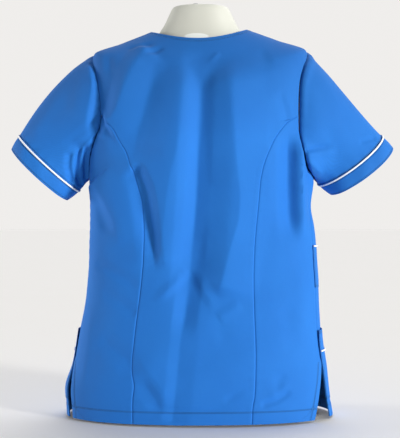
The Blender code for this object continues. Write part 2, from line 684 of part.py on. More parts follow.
def build_form(plastic):
    table = form_rings()
    levels = form_levels(table)
    turn = np.arange(FORM_TURNS) * 2 * np.pi / FORM_TURNS
    vee = vee_share(levels) * np.clip((FORM_NECK_ROUND - levels) / (FORM_NECK_ROUND - FORM_VEE_END), 0, 1)
    rings = ring_point(table, turn[None, :], levels[:, None], vee[:, None])
    count = len(levels)
    vertices = rings.reshape(-1, 3)
    faces = []
    for row in range(count - 1):
        for place in range(FORM_TURNS):
            beside = (place + 1) % FORM_TURNS
            faces.append((row * FORM_TURNS + place, row * FORM_TURNS + beside,
                          (row + 1) * FORM_TURNS + beside, (row + 1) * FORM_TURNS + place))
    faces.append(tuple(range(FORM_TURNS))[::-1])
    faces.append(tuple((count - 1) * FORM_TURNS + place for place in range(FORM_TURNS)))
    make_object("torso_form", vertices, facing_out(vertices, faces), plastic)


def build_ferrule(steel):
    """A low round knob on top of the form's neck."""
    bpy.ops.mesh.primitive_cylinder_add(vertices=FERRULE_SIDES, radius=FERRULE_RADIUS, depth=FERRULE_HEIGHT)
    knob = bpy.context.object
    knob.name = "form_ferrule"
    foot = FORM_NECK_RINGS[-1][0] + SEAM_GAP
    knob.location = (FERRULE_X, 0.0, foot + FERRULE_HEIGHT / 2)
    bevel = knob.modifiers.new("edge", "BEVEL")
    bevel.width = FERRULE_EDGE
    bevel.segments = 2
    bevel.limit_method = "ANGLE"
    knob.data.shade_smooth()
    knob.data.set_sharp_from_angle(angle=np.radians(SHARP_ANGLE))
    knob.data.materials.append(steel)


def split_hole_directions(side, shared):
    """The shared armhole directions, as one run up the back and one up the front."""
    half = ARMHOLE_LOW + ARMHOLE_HIGH
    front = np.concatenate((shared[:1], shared[half:][::-1]))
    return {"back": shared[:half + 1], "front": front}


def main():
    for thing in list(bpy.data.objects):
        bpy.data.objects.remove(thing, do_unlink=True)
    cloth = make_material("tunic_cloth", CLOTH_BLUE, 0.72)
    piping = make_material("white_piping", PIPING_WHITE, 0.60)
    plastic = make_material("form_plastic", FORM_WHITE, 0.45)
    steel = make_material("ferrule_steel", FERRULE_STEEL, 0.35, metallic=1.0)
    parts = {side: sleeve_parts(side) for side in ("left", "right")}
    hole_directions = {side: split_hole_directions(side, parts[side][1][0]) for side in parts}
    build_centre_panels(cloth, hole_directions)
    grids = build_side_panels(cloth, hole_directions)
    build_sleeves(cloth, piping, parts)
    build_pockets(cloth, piping, grids)
    build_form(plastic)
    build_ferrule(steel)


main()
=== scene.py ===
import math
import bmesh
import bpy
import numpy as np
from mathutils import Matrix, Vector


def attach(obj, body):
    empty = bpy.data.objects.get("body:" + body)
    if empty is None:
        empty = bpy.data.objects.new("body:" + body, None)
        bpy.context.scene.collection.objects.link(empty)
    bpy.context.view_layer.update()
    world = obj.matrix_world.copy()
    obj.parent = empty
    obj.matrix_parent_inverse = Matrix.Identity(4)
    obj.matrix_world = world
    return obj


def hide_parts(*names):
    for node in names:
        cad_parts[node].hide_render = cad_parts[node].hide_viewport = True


# Looks of the nurse tunic on its torso form. The back of the tunic faces +Y, the wearer's left is +X.
# A point of the body cloth is given by its turn round the body (0 at the centre back, 90 degrees at the
# left side, 180 at the centre front) and its level, the height of its ring at the centre back.

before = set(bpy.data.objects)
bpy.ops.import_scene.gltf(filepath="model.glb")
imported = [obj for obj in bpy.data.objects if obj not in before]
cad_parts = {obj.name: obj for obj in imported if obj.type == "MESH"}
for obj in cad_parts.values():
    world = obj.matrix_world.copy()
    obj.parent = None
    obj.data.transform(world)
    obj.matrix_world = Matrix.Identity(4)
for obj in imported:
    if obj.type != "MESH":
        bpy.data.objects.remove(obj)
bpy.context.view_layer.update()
print("frame loaded:", len(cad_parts), "nodes")

# the cut of the tunic, in metres, as in the frame
tunic = {
    "hem": 0.004, "pocketFoot": 0.036, "ventTop": 0.108, "hipPiping": 0.126, "pocketMouth": 0.165,
    "waistPocketFoot": 0.245, "waistPiping": 0.3246, "upperStart": 0.360, "underarm": 0.4526,
    "backJoin": 0.566, "frontJoin": 0.580, "tip": 0.640, "neck": 0.709, "veeStart": 0.600,
    "squareness": 2.3, "cloth": 0.0009, "turnedCloth": 0.0022,
}
ringColumns = ("backZ", "leftZ", "rightZ", "frontZ", "left", "right", "back", "front")
bodyRings = (
    (0.004, 0.0040, 0.0040, 0.004, 0.2535, 0.2530, 0.112, 0.120),
    (0.050, 0.0500, 0.0500, 0.050, 0.2560, 0.2455, 0.109, 0.120),
    (0.100, 0.1000, 0.1000, 0.100, 0.2420, 0.2385, 0.106, 0.118),
    (0.165, 0.1650, 0.1650, 0.165, 0.2285, 0.2300, 0.100, 0.116),
    (0.240, 0.2400, 0.2400, 0.240, 0.2160, 0.2265, 0.093, 0.115),
    (0.310, 0.3100, 0.3100, 0.310, 0.2118, 0.2232, 0.089, 0.117),
    (0.360, 0.3600, 0.3600, 0.360, 0.2100, 0.2180, 0.090, 0.122),
    (0.400, 0.4000, 0.4000, 0.400, 0.2100, 0.2120, 0.094, 0.128),
    (0.453, 0.4530, 0.4530, 0.453, 0.2115, 0.2175, 0.099, 0.134),
    (0.510, 0.5380, 0.5420, 0.480, 0.2125, 0.2155, 0.104, 0.135),
    (0.560, 0.6200, 0.6260, 0.505, 0.2125, 0.2140, 0.103, 0.132),
    (0.610, 0.6680, 0.6750, 0.522, 0.2070, 0.2080, 0.097, 0.128),
    (0.640, 0.6886, 0.6960, 0.532, 0.2014, 0.2020, 0.089, 0.125),
    (0.676, 0.7090, 0.7160, 0.542, 0.1480, 0.1460, 0.074, 0.122),
    (0.709, 0.7295, 0.7350, 0.552, 0.0945, 0.0905, 0.060, 0.120),
)
# princess seams and armholes: height and distance from the centre
princessSeams = {
    ("left", "back"): (
        (0.004, 0.1220), (0.043, 0.1222), (0.065, 0.1201), (0.103, 0.1238), (0.127, 0.1227), (0.163, 0.1190),
        (0.227, 0.1110), (0.274, 0.1061), (0.301, 0.1044), (0.336, 0.1035), (0.396, 0.1065), (0.436, 0.1165),
        (0.474, 0.1278), (0.497, 0.1373), (0.517, 0.1486), (0.545, 0.1610)),
    ("right", "back"): (
        (0.004, 0.0930), (0.034, 0.0948), (0.055, 0.0985), (0.092, 0.1003), (0.162, 0.1002), (0.217, 0.0984),
        (0.263, 0.0975), (0.312, 0.0986), (0.354, 0.1011), (0.409, 0.1056), (0.441, 0.1081), (0.463, 0.1121),
        (0.480, 0.1170), (0.500, 0.1256), (0.523, 0.1376), (0.543, 0.1527), (0.553, 0.1624)),
    "front": (
        (0.004, 0.1150), (0.120, 0.1120), (0.220, 0.1040), (0.310, 0.0980), (0.400, 0.1000), (0.460, 0.1060),
        (0.510, 0.1200), (0.545, 0.1400), (0.565, 0.1570)),
}
armholes = {
    ("left", "back"): (
        (0.480, 0.2090), (0.509, 0.2010), (0.5365, 0.1905), (0.561, 0.1855), (0.583, 0.1850),
        (0.6205, 0.1897), (0.647, 0.1955)),
    ("right", "back"): (
        (0.4723, 0.1960), (0.4954, 0.1860), (0.5122, 0.1843), (0.5626, 0.1832), (0.5962, 0.1836),
        (0.6261, 0.1860), (0.656, 0.1930)),
    "front": (
        (0.4680, 0.1960), (0.4900, 0.1830), (0.5300, 0.1760), (0.5800, 0.1750), (0.6200, 0.1790),
        (0.6550, 0.1880)),
}
# side seams as turns in degrees, and how far each vent edge turns away below them
sideSeams = ((0.108, 80.0, 69.0), (0.320, 84.0, 69.0), (0.420, 87.0, 76.0), (0.4526, 88.0, 82.0))
sideSeamColumns = ("left", "right")
ventEdges = ((0.004, -15.0, -9.0, -16.0, 1.0), (0.057, -13.5, -7.0, -7.5, 1.0), (0.108, 0.0, 0.0, 0.0, 0.0))
ventColumns = ("leftback", "leftfront", "rightback", "rightfront")
# sleeves: hem corners as distance out and height, start and fall in degrees, dip of the hem at the back
sleeves = {
    "left": {"outer": (0.3607, 0.5087), "inner": (0.2559, 0.4106), "start": 29.0, "fallOuter": 60.0,
             "fallInner": 38.0, "dip": 0.005, "fullness": 0.12},
    "right": {"outer": (0.3680, 0.5125), "inner": (0.2520, 0.4210), "start": 44.0, "fallOuter": 46.0,
              "fallInner": 40.0, "dip": 0.014, "fullness": 0.30},
}
sleeveCut = {"middleY": -0.005, "halfDepth": 0.044, "startUnder": 44.0, "cuff": 0.029}
# the frame's folds that the creases below don't redraw: top, foot, half width, way out
largeFolds = (
    ((0.124, 0.470), (0.080, 0.300), 0.014, -0.0045),
    ((0.194, 0.420), (0.150, 0.330), 0.014, -0.0040),
)
# creases: a tent is a pressed fold with flat sides and a bell a soft roll; line from its start to its end, half widths
# left and right of it as seen with the line running down, way out (in, below 0), and the shares of its length over
# which it fades in and out
backCreases = (
    # swell of the middle back
    ("bell", ((0.015, 0.663), (0.025, 0.534), (0.029, 0.408), (0.022, 0.296)), 0.070, 0.070, 0.0065, 0.20, 0.25),
    # crisp bottom of the long fold
    ("tent", ((-0.002, 0.681), (0.000, 0.589), (0.004, 0.480), (0.007, 0.408), (0.013, 0.336), (0.018, 0.281), (0.024, 0.235)), 0.020, 0.024, -0.0042, 0.10, 0.25),
    # long fold down the middle
    ("tent", ((-0.004, 0.696), (0.000, 0.589), (0.004, 0.480), (0.007, 0.408), (0.013, 0.336), (0.018, 0.281), (0.025, 0.227), (0.033, 0.188)), 0.034, 0.060, -0.0105, 0.10, 0.16),
    # long fold, lower part
    ("tent", ((0.024, 0.245), (0.034, 0.165), (0.041, 0.093), (0.050, 0.006)), 0.018, 0.030, -0.0030, 0.25, 0.02),
    # right edge of the middle hollow
    ("tent", ((-0.051, 0.671), (-0.058, 0.571), (-0.065, 0.481), (-0.073, 0.399), (-0.056, 0.327), (-0.040, 0.263), (-0.031, 0.231)), 0.050, 0.064, 0.0095, 0.12, 0.06),
    # hollow left of the middle
    ("tent", ((0.073, 0.682), (0.091, 0.617), (0.105, 0.563), (0.120, 0.508), (0.126, 0.471)), 0.052, 0.056, -0.0064, 0.15, 0.15),
    # roll left of the middle
    ("tent", ((0.025, 0.663), (0.032, 0.571), (0.042, 0.499), (0.058, 0.436), (0.066, 0.363), (0.076, 0.285)), 0.056, 0.036, 0.0056, 0.15, 0.05),
    # left mid-back fold
    ("tent", ((0.126, 0.472), (0.111, 0.452), (0.100, 0.427), (0.093, 0.390), (0.088, 0.345), (0.082, 0.270)), 0.030, 0.018, -0.0080, 0.08, 0.22),
    # lit edge of the left blade
    ("tent", ((0.091, 0.693), (0.117, 0.662), (0.133, 0.628), (0.146, 0.586), (0.158, 0.561), (0.177, 0.551)), 0.026, 0.046, 0.0100, 0.10, 0.06),
    # blotch at the left armhole
    ("bell", ((0.173, 0.684), (0.169, 0.665), (0.166, 0.634)), 0.009, 0.009, -0.0034, 0.30, 0.40),
    # pucker at the left armhole
    ("tent", ((0.177, 0.571), (0.189, 0.554), (0.187, 0.532)), 0.007, 0.006, -0.0026, 0.10, 0.20),
    # pucker beside it
    ("tent", ((0.167, 0.552), (0.177, 0.536), (0.183, 0.520)), 0.007, 0.005, 0.0022, 0.20, 0.20),
    # shoulder crease, upper
    ("tent", ((0.086, 0.699), (0.108, 0.696), (0.140, 0.689)), 0.004, 0.005, -0.0022, 0.15, 0.30),
    # shoulder crease, lower
    ("tent", ((0.067, 0.691), (0.086, 0.682), (0.104, 0.674)), 0.005, 0.005, -0.0024, 0.20, 0.15),
    # shoulder roll between them
    ("bell", ((0.077, 0.693), (0.099, 0.688), (0.128, 0.681)), 0.004, 0.004, 0.0014, 0.20, 0.30),
    # neck crease, right arm
    ("tent", ((-0.035, 0.680), (-0.018, 0.663), (-0.002, 0.647)), 0.004, 0.004, 0.0024, 0.12, 0.05),
    # neck crease, left arm
    ("tent", ((0.018, 0.663), (0.007, 0.654), (-0.002, 0.647)), 0.004, 0.004, 0.0020, 0.30, 0.05),
    # right shoulder hollow
    ("tent", ((-0.106, 0.690), (-0.119, 0.671), (-0.130, 0.643)), 0.022, 0.012, -0.0018, 0.35, 0.45),
    # right deep fold, bottom
    ("tent", ((-0.163, 0.541), (-0.165, 0.501), (-0.166, 0.437), (-0.168, 0.391), (-0.174, 0.324)), 0.026, 0.009, -0.0110, 0.25, 0.30),
    # right deep fold, edge
    ("tent", ((-0.181, 0.542), (-0.183, 0.502), (-0.184, 0.437), (-0.186, 0.391), (-0.192, 0.324)), 0.009, 0.016, 0.0110, 0.25, 0.30),
    # hollow above the right princess seam
    ("tent", ((-0.144, 0.610), (-0.154, 0.581), (-0.161, 0.555)), 0.016, 0.008, -0.0018, 0.30, 0.02),
    # left underarm roll
    ("tent", ((0.203, 0.447), (0.184, 0.422), (0.168, 0.396), (0.153, 0.361), (0.149, 0.317)), 0.028, 0.044, 0.0060, 0.06, 0.20),
    # left underarm hollow
    ("bell", ((0.201, 0.428), (0.190, 0.402), (0.179, 0.368), (0.167, 0.335)), 0.009, 0.010, -0.0026, 0.20, 0.30),
    # left waist crease
    ("tent", ((0.199, 0.293), (0.170, 0.280), (0.139, 0.264), (0.111, 0.248)), 0.010, 0.015, -0.0024, 0.15, 0.25),
    # left waist crease below
    ("tent", ((0.186, 0.242), (0.150, 0.222), (0.115, 0.201)), 0.014, 0.014, -0.0019, 0.30, 0.10),
    # middle V, left arm
    ("tent", ((0.020, 0.281), (0.038, 0.263), (0.060, 0.243), (0.087, 0.221)), 0.012, 0.010, 0.0026, 0.12, 0.35),
    # hollow over the left arm
    ("tent", ((0.025, 0.301), (0.044, 0.289), (0.064, 0.276), (0.080, 0.267)), 0.014, 0.014, -0.0006, 0.35, 0.45),
    # middle V, right arm
    ("tent", ((0.013, 0.281), (-0.002, 0.254), (-0.018, 0.227), (-0.031, 0.206)), 0.012, 0.014, 0.0022, 0.20, 0.30),
    # dark wedge below the V
    ("tent", ((0.016, 0.281), (0.020, 0.245), (0.025, 0.209), (0.034, 0.152)), 0.022, 0.022, -0.0050, 0.10, 0.40),
    # right waist drag
    ("tent", ((-0.078, 0.221), (-0.054, 0.207), (-0.031, 0.193)), 0.012, 0.016, 0.0016, 0.30, 0.15),
    # notch at the V
    ("bell", ((-0.029, 0.209), (-0.038, 0.177), (-0.047, 0.134)), 0.012, 0.014, -0.0008, 0.30, 0.40),
    # lower left diagonal
    ("tent", ((0.116, 0.126), (0.094, 0.100), (0.072, 0.073), (0.050, 0.043)), 0.026, 0.040, 0.0032, 0.40, 0.30),
    # dark side of the diagonal
    ("tent", ((0.112, 0.094), (0.096, 0.069), (0.079, 0.045), (0.065, 0.020)), 0.020, 0.012, -0.0024, 0.40, 0.30),
    # lower left hollow
    ("tent", ((0.188, 0.160), (0.157, 0.135), (0.132, 0.115), (0.121, 0.083)), 0.024, 0.022, -0.0028, 0.20, 0.25),
    # hem crease, right
    ("tent", ((-0.040, 0.045), (-0.061, 0.054), (-0.083, 0.059)), 0.007, 0.008, -0.0012, 0.35, 0.60),
    # hem crease, far right
    ("tent", ((-0.108, 0.037), (-0.138, 0.045), (-0.166, 0.059)), 0.006, 0.008, -0.0026, 0.15, 0.15),
    # hem roll, far right
    ("bell", ((-0.123, 0.051), (-0.145, 0.064), (-0.164, 0.077)), 0.007, 0.009, 0.0014, 0.30, 0.30),
    # hollow at the right hip
    ("bell", ((-0.151, 0.099), (-0.145, 0.075), (-0.136, 0.050)), 0.009, 0.009, -0.0016, 0.30, 0.30),
    # hem hollow
    ("tent", ((0.108, 0.041), (0.072, 0.033), (0.027, 0.029), (-0.018, 0.031), (-0.065, 0.036)), 0.008, 0.007, -0.0016, 0.20, 0.25),
    # left side waver
    ("bell", ((0.200, 0.223), (0.205, 0.168), (0.211, 0.113), (0.218, 0.049)), 0.012, 0.010, 0.0016, 0.30, 0.30),
    # right side waver
    ("bell", ((-0.185, 0.298), (-0.191, 0.224), (-0.192, 0.151)), 0.016, 0.014, 0.0016, 0.30, 0.30),
    # right hip hollow
    ("bell", ((-0.158, 0.225), (-0.165, 0.171), (-0.176, 0.123)), 0.016, 0.014, -0.0014, 0.30, 0.30),
    # roll of the right blade
    ("tent", ((-0.128, 0.647), (-0.120, 0.536), (-0.124, 0.445), (-0.132, 0.354)), 0.050, 0.040, 0.0024, 0.30, 0.30),
)
frontCreases = (
    ("tent", ((0.098, 0.660), (0.116, 0.590), (0.112, 0.500)), 0.026, 0.032, -0.0037, 0.20, 0.30),
    ("tent", ((-0.094, 0.664), (-0.110, 0.590), (-0.108, 0.505)), 0.032, 0.026, -0.0032, 0.20, 0.30),
    ("bell", ((0.168, 0.530), (0.146, 0.502), (0.112, 0.482)), 0.007, 0.010, -0.0030, 0.05, 0.30),
    ("tent", ((0.165, 0.500), (0.140, 0.478), (0.108, 0.463)), 0.013, 0.013, 0.0022, 0.10, 0.30),
    ("tent", ((-0.166, 0.536), (-0.142, 0.506), (-0.116, 0.488)), 0.016, 0.011, -0.0032, 0.05, 0.30),
    ("bell", ((-0.164, 0.506), (-0.140, 0.482), (-0.112, 0.470)), 0.008, 0.008, 0.0016, 0.10, 0.30),
    ("tent", ((0.002, 0.540), (0.006, 0.450), (-0.003, 0.350)), 0.038, 0.042, -0.0052, 0.15, 0.30),
    ("tent", ((0.036, 0.450), (0.030, 0.330), (0.040, 0.170)), 0.022, 0.029, 0.0032, 0.25, 0.30),
    ("bell", ((-0.040, 0.440), (-0.030, 0.320), (-0.038, 0.150)), 0.016, 0.014, 0.0024, 0.25, 0.30),
    ("tent", ((0.074, 0.400), (0.062, 0.290), (0.070, 0.150)), 0.022, 0.016, -0.0042, 0.20, 0.25),
    ("tent", ((-0.066, 0.400), (-0.078, 0.280), (-0.066, 0.130)), 0.016, 0.022, -0.0042, 0.20, 0.25),
    ("bell", ((0.004, 0.330), (-0.006, 0.200), (0.008, 0.030)), 0.016, 0.012, -0.0026, 0.30, 0.15),
    ("tent", ((0.196, 0.436), (0.168, 0.396), (0.142, 0.345)), 0.014, 0.019, -0.0042, 0.08, 0.30),
    ("tent", ((-0.200, 0.432), (-0.170, 0.392), (-0.146, 0.350)), 0.019, 0.014, -0.0037, 0.08, 0.30),
    ("bell", ((0.200, 0.330), (0.168, 0.316), (0.128, 0.296)), 0.006, 0.008, -0.0022, 0.20, 0.20),
    ("tent", ((-0.205, 0.300), (-0.170, 0.296), (-0.128, 0.282)), 0.013, 0.010, -0.0025, 0.20, 0.20),
    ("tent", ((0.132, 0.240), (0.150, 0.200), (0.146, 0.150)), 0.019, 0.022, -0.0025, 0.30, 0.30),
    ("bell", ((-0.128, 0.230), (-0.150, 0.190), (-0.150, 0.140)), 0.014, 0.012, -0.0020, 0.30, 0.30),
    ("tent", ((0.096, 0.120), (0.060, 0.070), (0.030, 0.034)), 0.016, 0.019, -0.0030, 0.25, 0.15),
    ("tent", ((-0.090, 0.100), (-0.050, 0.058), (-0.020, 0.032)), 0.019, 0.016, -0.0028, 0.25, 0.15),
    ("bell", ((0.060, 0.590), (0.046, 0.560), (0.018, 0.530)), 0.007, 0.006, -0.0014, 0.15, 0.25),
    ("tent", ((-0.058, 0.594), (-0.042, 0.560), (-0.014, 0.528)), 0.010, 0.011, -0.0018, 0.15, 0.25),
)
backSleeveCreases = (
    # left sleeve underarm hollow
    ("bell", ((0.220, 0.523), (0.226, 0.485), (0.230, 0.440)), 0.018, 0.016, -0.0050, 0.20, 0.10),
    # left sleeve underarm fold, first
    ("tent", ((0.243, 0.500), (0.247, 0.474), (0.241, 0.444)), 0.008, 0.005, -0.0040, 0.15, 0.02),
    # left sleeve underarm fold, second
    ("tent", ((0.224, 0.510), (0.230, 0.476), (0.228, 0.436)), 0.006, 0.005, -0.0054, 0.15, 0.02),
    # left sleeve underarm fold, third
    ("tent", ((0.209, 0.511), (0.213, 0.479), (0.215, 0.440)), 0.005, 0.005, -0.0048, 0.15, 0.02),
    # left sleeve head, dark line
    ("tent", ((0.200, 0.651), (0.192, 0.621), (0.186, 0.583)), 0.006, 0.005, -0.0010, 0.15, 0.15),
    # left sleeve upper hollow
    ("bell", ((0.226, 0.658), (0.245, 0.613), (0.252, 0.560)), 0.016, 0.014, -0.0020, 0.30, 0.30),
    # left sleeve roll
    ("tent", ((0.192, 0.681), (0.198, 0.636), (0.205, 0.583), (0.218, 0.526)), 0.062, 0.010, 0.0070, 0.25, 0.30),
    # left sleeve outer drag
    ("bell", ((0.260, 0.613), (0.294, 0.564), (0.320, 0.523)), 0.014, 0.014, 0.0015, 0.30, 0.20),
    # right sleeve crease
    ("tent", ((-0.192, 0.500), (-0.220, 0.506), (-0.250, 0.511)), 0.004, 0.004, -0.0036, 0.00, 0.30),
    # right sleeve roll under the crease
    ("bell", ((-0.196, 0.489), (-0.226, 0.493), (-0.260, 0.500)), 0.005, 0.009, 0.0018, 0.10, 0.40),
    # right sleeve faint crease
    ("tent", ((-0.297, 0.517), (-0.316, 0.523), (-0.335, 0.528)), 0.005, 0.005, -0.0015, 0.20, 0.15),
    # right sleeve underarm hollow
    ("tent", ((-0.194, 0.478), (-0.205, 0.455), (-0.222, 0.440)), 0.006, 0.006, -0.0065, 0.10, 0.05),
    # right sleeve underarm roll
    ("bell", ((-0.198, 0.485), (-0.213, 0.470), (-0.232, 0.457)), 0.005, 0.005, 0.0020, 0.20, 0.30),
    # right sleeve lower hollow
    ("bell", ((-0.230, 0.560), (-0.252, 0.508), (-0.263, 0.462)), 0.016, 0.016, -0.0016, 0.30, 0.30),
    # right sleeve outer roll
    ("tent", ((-0.222, 0.662), (-0.245, 0.613), (-0.271, 0.560)), 0.020, 0.022, 0.0016, 0.30, 0.30),
)
frontSleeveCreases = (
    ("tent", ((0.212, 0.505), (0.236, 0.468), (0.262, 0.436)), 0.010, 0.008, -0.0057, 0.15, 0.10),
    ("tent", ((0.224, 0.520), (0.250, 0.486), (0.276, 0.456)), 0.010, 0.010, 0.0028, 0.20, 0.20),
    ("bell", ((0.206, 0.560), (0.236, 0.520), (0.280, 0.480)), 0.012, 0.010, -0.0024, 0.15, 0.30),
    ("tent", ((0.214, 0.610), (0.250, 0.570), (0.300, 0.530)), 0.022, 0.019, 0.0020, 0.25, 0.30),
    ("tent", ((0.252, 0.470), (0.262, 0.452), (0.270, 0.436)), 0.006, 0.006, -0.0032, 0.20, 0.10),
    ("bell", ((-0.210, 0.512), (-0.236, 0.474), (-0.264, 0.444)), 0.005, 0.006, -0.0044, 0.15, 0.10),
    ("tent", ((-0.222, 0.528), (-0.250, 0.492), (-0.280, 0.464)), 0.010, 0.010, 0.0028, 0.20, 0.20),
    ("tent", ((-0.204, 0.566), (-0.238, 0.526), (-0.284, 0.488)), 0.016, 0.019, -0.0028, 0.15, 0.30),
    ("bell", ((-0.212, 0.618), (-0.252, 0.578), (-0.304, 0.536)), 0.012, 0.014, 0.0016, 0.25, 0.30),
)
sideSign = {"left": 1.0, "right": -1.0}


def smoothAt(knots, values, at):
    # cubic between a table's rows, with slopes that never overshoot them
    knots, values = np.asarray(knots, float), np.asarray(values, float)
    at = np.clip(at, knots[0], knots[-1])
    step = np.diff(knots)
    rise = np.diff(values) / step
    slope = np.concatenate((rise[:1], np.zeros(len(values) - 2), rise[-1:]))
    before, after = rise[:-1], rise[1:]
    weightBefore, weightAfter = 2 * step[1:] + step[:-1], step[1:] + 2 * step[:-1]
    with np.errstate(divide="ignore", invalid="ignore"):
        mean = (weightBefore + weightAfter) / (weightBefore / before + weightAfter / after)
    slope[1:-1] = np.where(before * after > 0, mean, 0.0)
    row = np.clip(np.searchsorted(knots, at, side="right") - 1, 0, len(step) - 1)
    part = (at - knots[row]) / step[row]
    start = values[row] * (1 + 2 * part) * (1 - part) ** 2
    end = values[row + 1] * part ** 2 * (3 - 2 * part)
    return start + end + step[row] * part * (1 - part) * (slope[row] * (1 - part) - slope[row + 1] * part)


def columnAt(table, columns, name, at):
    rows = np.array(table)
    return smoothAt(rows[:, 0], rows[:, columns.index(name) + rows.shape[1] - len(columns)], at)


def unit(vectors):
    return vectors / np.maximum(np.linalg.norm(vectors, axis=-1, keepdims=True), 1e-12)


def ease(share):
    # smooth step: 3 s^2 - 2 s^3 between 0 and 1
    share = np.clip(share, 0, 1)
    return share * share * (3 - 2 * share)


def ringPoint(table, turn, level, vee):
    # superellipse ring: x = half sin(turn) r, y = depth cos(turn) r, with r = (|sin|^n + |cos|^n)^(-1/n);
    # its height runs from the side's to the middle's with cos^2, or straight where it follows the V
    turn, level = np.broadcast_arrays(np.asarray(turn, float), np.asarray(level, float))
    across, along, n = np.sin(turn), np.cos(turn), tunic["squareness"]
    reach = (np.abs(across) ** n + np.abs(along) ** n) ** (-1 / n)
    onLeft, onBack = across > 0, along > 0
    value = {name: columnAt(table, ringColumns, name, level) for name in ringColumns[1:]}
    half = np.where(onLeft, value["left"], value["right"])
    depth = np.where(onBack, value["back"], value["front"])
    sideZ = np.where(onLeft, value["leftZ"], value["rightZ"])
    middleZ = np.where(onBack, level, value["frontZ"])
    straight = np.where(onBack, 0.0, vee)
    share = (1 - straight) * along ** 2 + straight * (1 - np.abs(across))
    forward = along * ((1 - straight) * reach + straight * np.abs(along))
    return np.stack((half * across * reach, depth * forward, sideZ + (middleZ - sideZ) * share), -1)


def veeShare(level):
    return np.clip((level - tunic["veeStart"]) / (tunic["neck"] - tunic["veeStart"]), 0, 1) ** 2


def bodyPoint(turn, level):
    # ring point moved out by the largest folds, each a bell across its line and a half sine along it
    level = np.asarray(level, float)
    point = ringPoint(bodyRings, turn, level, veeShare(level))
    push = np.zeros(point.shape[:-1])
    for top, foot, halfWidth, out in largeFolds:
        run = np.array(foot) - np.array(top)
        length = np.linalg.norm(run)
        away = point[..., (0, 2)] - np.array(top)
        across = (away[..., 0] * run[1] - away[..., 1] * run[0]) / length
        ends = np.sin(np.pi * np.clip(away @ run / length ** 2, 0, 1)) ** 0.7
        push += out * ends * np.exp(-(across / halfWidth) ** 2)
    half = np.where(point[..., 0] > 0, columnAt(bodyRings, ringColumns, "left", level),
                    columnAt(bodyRings, ringColumns, "right", level))
    depth = columnAt(bodyRings, ringColumns, "back", level)
    outward = unit(np.stack((point[..., 0] / half ** 2, point[..., 1] / depth ** 2), -1))
    point[..., :2] += outward * (push * (point[..., 1] > 0))[..., None]
    return point


def bodyNormal(turn, level):
    # cross product of two short steps on the body, upward and round it
    step = 0.0005
    low = np.maximum(np.asarray(level) - step, bodyRings[0][0])
    high = np.minimum(np.asarray(level) + step, bodyRings[-1][0])
    around = bodyPoint(turn + step, level) - bodyPoint(turn - step, level)
    return unit(np.cross(bodyPoint(turn, high) - bodyPoint(turn, low), around))


def locate(x, z, side, face):
    # turn and level of the cloth at a distance from the centre and a height
    level = np.clip(z, bodyRings[0][0], tunic["neck"])
    for _ in range(60):
        share = np.clip(x / columnAt(bodyRings, ringColumns, side, level), 0, 1)
        rest = (1 - share ** tunic["squareness"]) ** (1 / tunic["squareness"])
        turn = np.arctan2(share, rest if face == "back" else -rest) * sideSign[side]
        level = np.clip(level + 0.6 * (z - bodyPoint(turn, level)[..., 2]), bodyRings[0][0], tunic["tip"])
    return turn, level


def sideTurn(side, face, level):
    degrees = columnAt(sideSeams, sideSeamColumns, side, level) + columnAt(ventEdges, ventColumns, side + face, level)
    return np.radians(degrees) * sideSign[side]


def armholeCurve(side, face, stops):
    # turns and levels up the armhole: stops run 0 to 1 from the underarm to the princess seam, 2 at the tip
    table = np.array(armholes["front" if face == "front" else (side, face)])
    turn, level = locate(table[:, 1], table[:, 0], side, face)
    turn = np.concatenate(([sideTurn(side, face, tunic["underarm"])], turn, [np.pi / 2 * sideSign[side]]))
    level = np.concatenate(([tunic["underarm"]], level, [tunic["tip"]]))
    points = bodyPoint(turn, level)
    run = np.concatenate(([0.0], np.cumsum(np.linalg.norm(np.diff(points, axis=0), axis=1))))
    join = np.interp(tunic["backJoin"] if face == "back" else tunic["frontJoin"], points[:, 2], run)
    at = np.where(stops < 1, stops * join, join + (stops - 1) * (run[-1] - join))
    return smoothAt(run, turn, at), smoothAt(run, level, at)


def princessCurve(side, face, lowLevels, climb):
    # turns and levels up the princess seam, from the hem to its join with the armhole
    table = np.array(princessSeams["front" if face == "front" else (side, face)])
    turn, level = locate(table[:, 1], table[:, 0], side, face)
    joinTurn, joinLevel = armholeCurve(side, face, np.array([1.0]))
    turn, level = np.append(turn, joinTurn), np.append(level, joinLevel)
    level[0] = tunic["hem"]
    rows = np.concatenate((lowLevels, tunic["upperStart"] + (level[-1] - tunic["upperStart"]) * climb))
    return smoothAt(level, turn, rows), rows


def closerAtEnds(count, crowd=0.8):
    # shares 0 to 1 that stand closer together at both ends: t - crowd sin(2 pi t) / 2 pi
    t = np.linspace(0, 1, count + 1)
    return t - crowd * np.sin(2 * np.pi * t) / (2 * np.pi)


meshSteps = {"low": 104, "climb": 54, "side": 56, "centre": 160, "armhole": 30, "shoulder": 22}
lowLevels = tunic["hem"] + (tunic["upperStart"] - tunic["hem"]) * np.linspace(0, 1, meshSteps["low"] + 1)
climbSteps = np.sin(np.linspace(0, np.pi / 2, meshSteps["climb"] + 1))[1:] ** 0.9


def sidePanelAt(side, face, levels, climb, across):
    # rows follow the levels and then climb to the armhole, columns go straight from seam to seam
    seamTurn = princessCurve(side, face, levels, climb)[0]
    topTurn, topLevel = armholeCurve(side, face, 1 - across)
    rise = np.concatenate((np.zeros(len(levels)), climb))[:, None]
    low = np.concatenate((levels, np.full(len(climb), tunic["upperStart"])))[:, None]
    level = low + (topLevel[None, :] - tunic["upperStart"]) * rise
    edge = sideTurn(side, face, low[:, 0] + (tunic["underarm"] - tunic["upperStart"]) * rise[:, 0])
    across = across[None, :]
    turn = seamTurn[:, None] * (1 - across) + edge[:, None] * across
    startTurn = armholeCurve(side, face, np.array([1.0, 0.0]))[0]
    straightTop = startTurn[0] * (1 - across) + startTurn[1] * across
    return turn + (topTurn[None, :] - straightTop) * rise ** 2, level


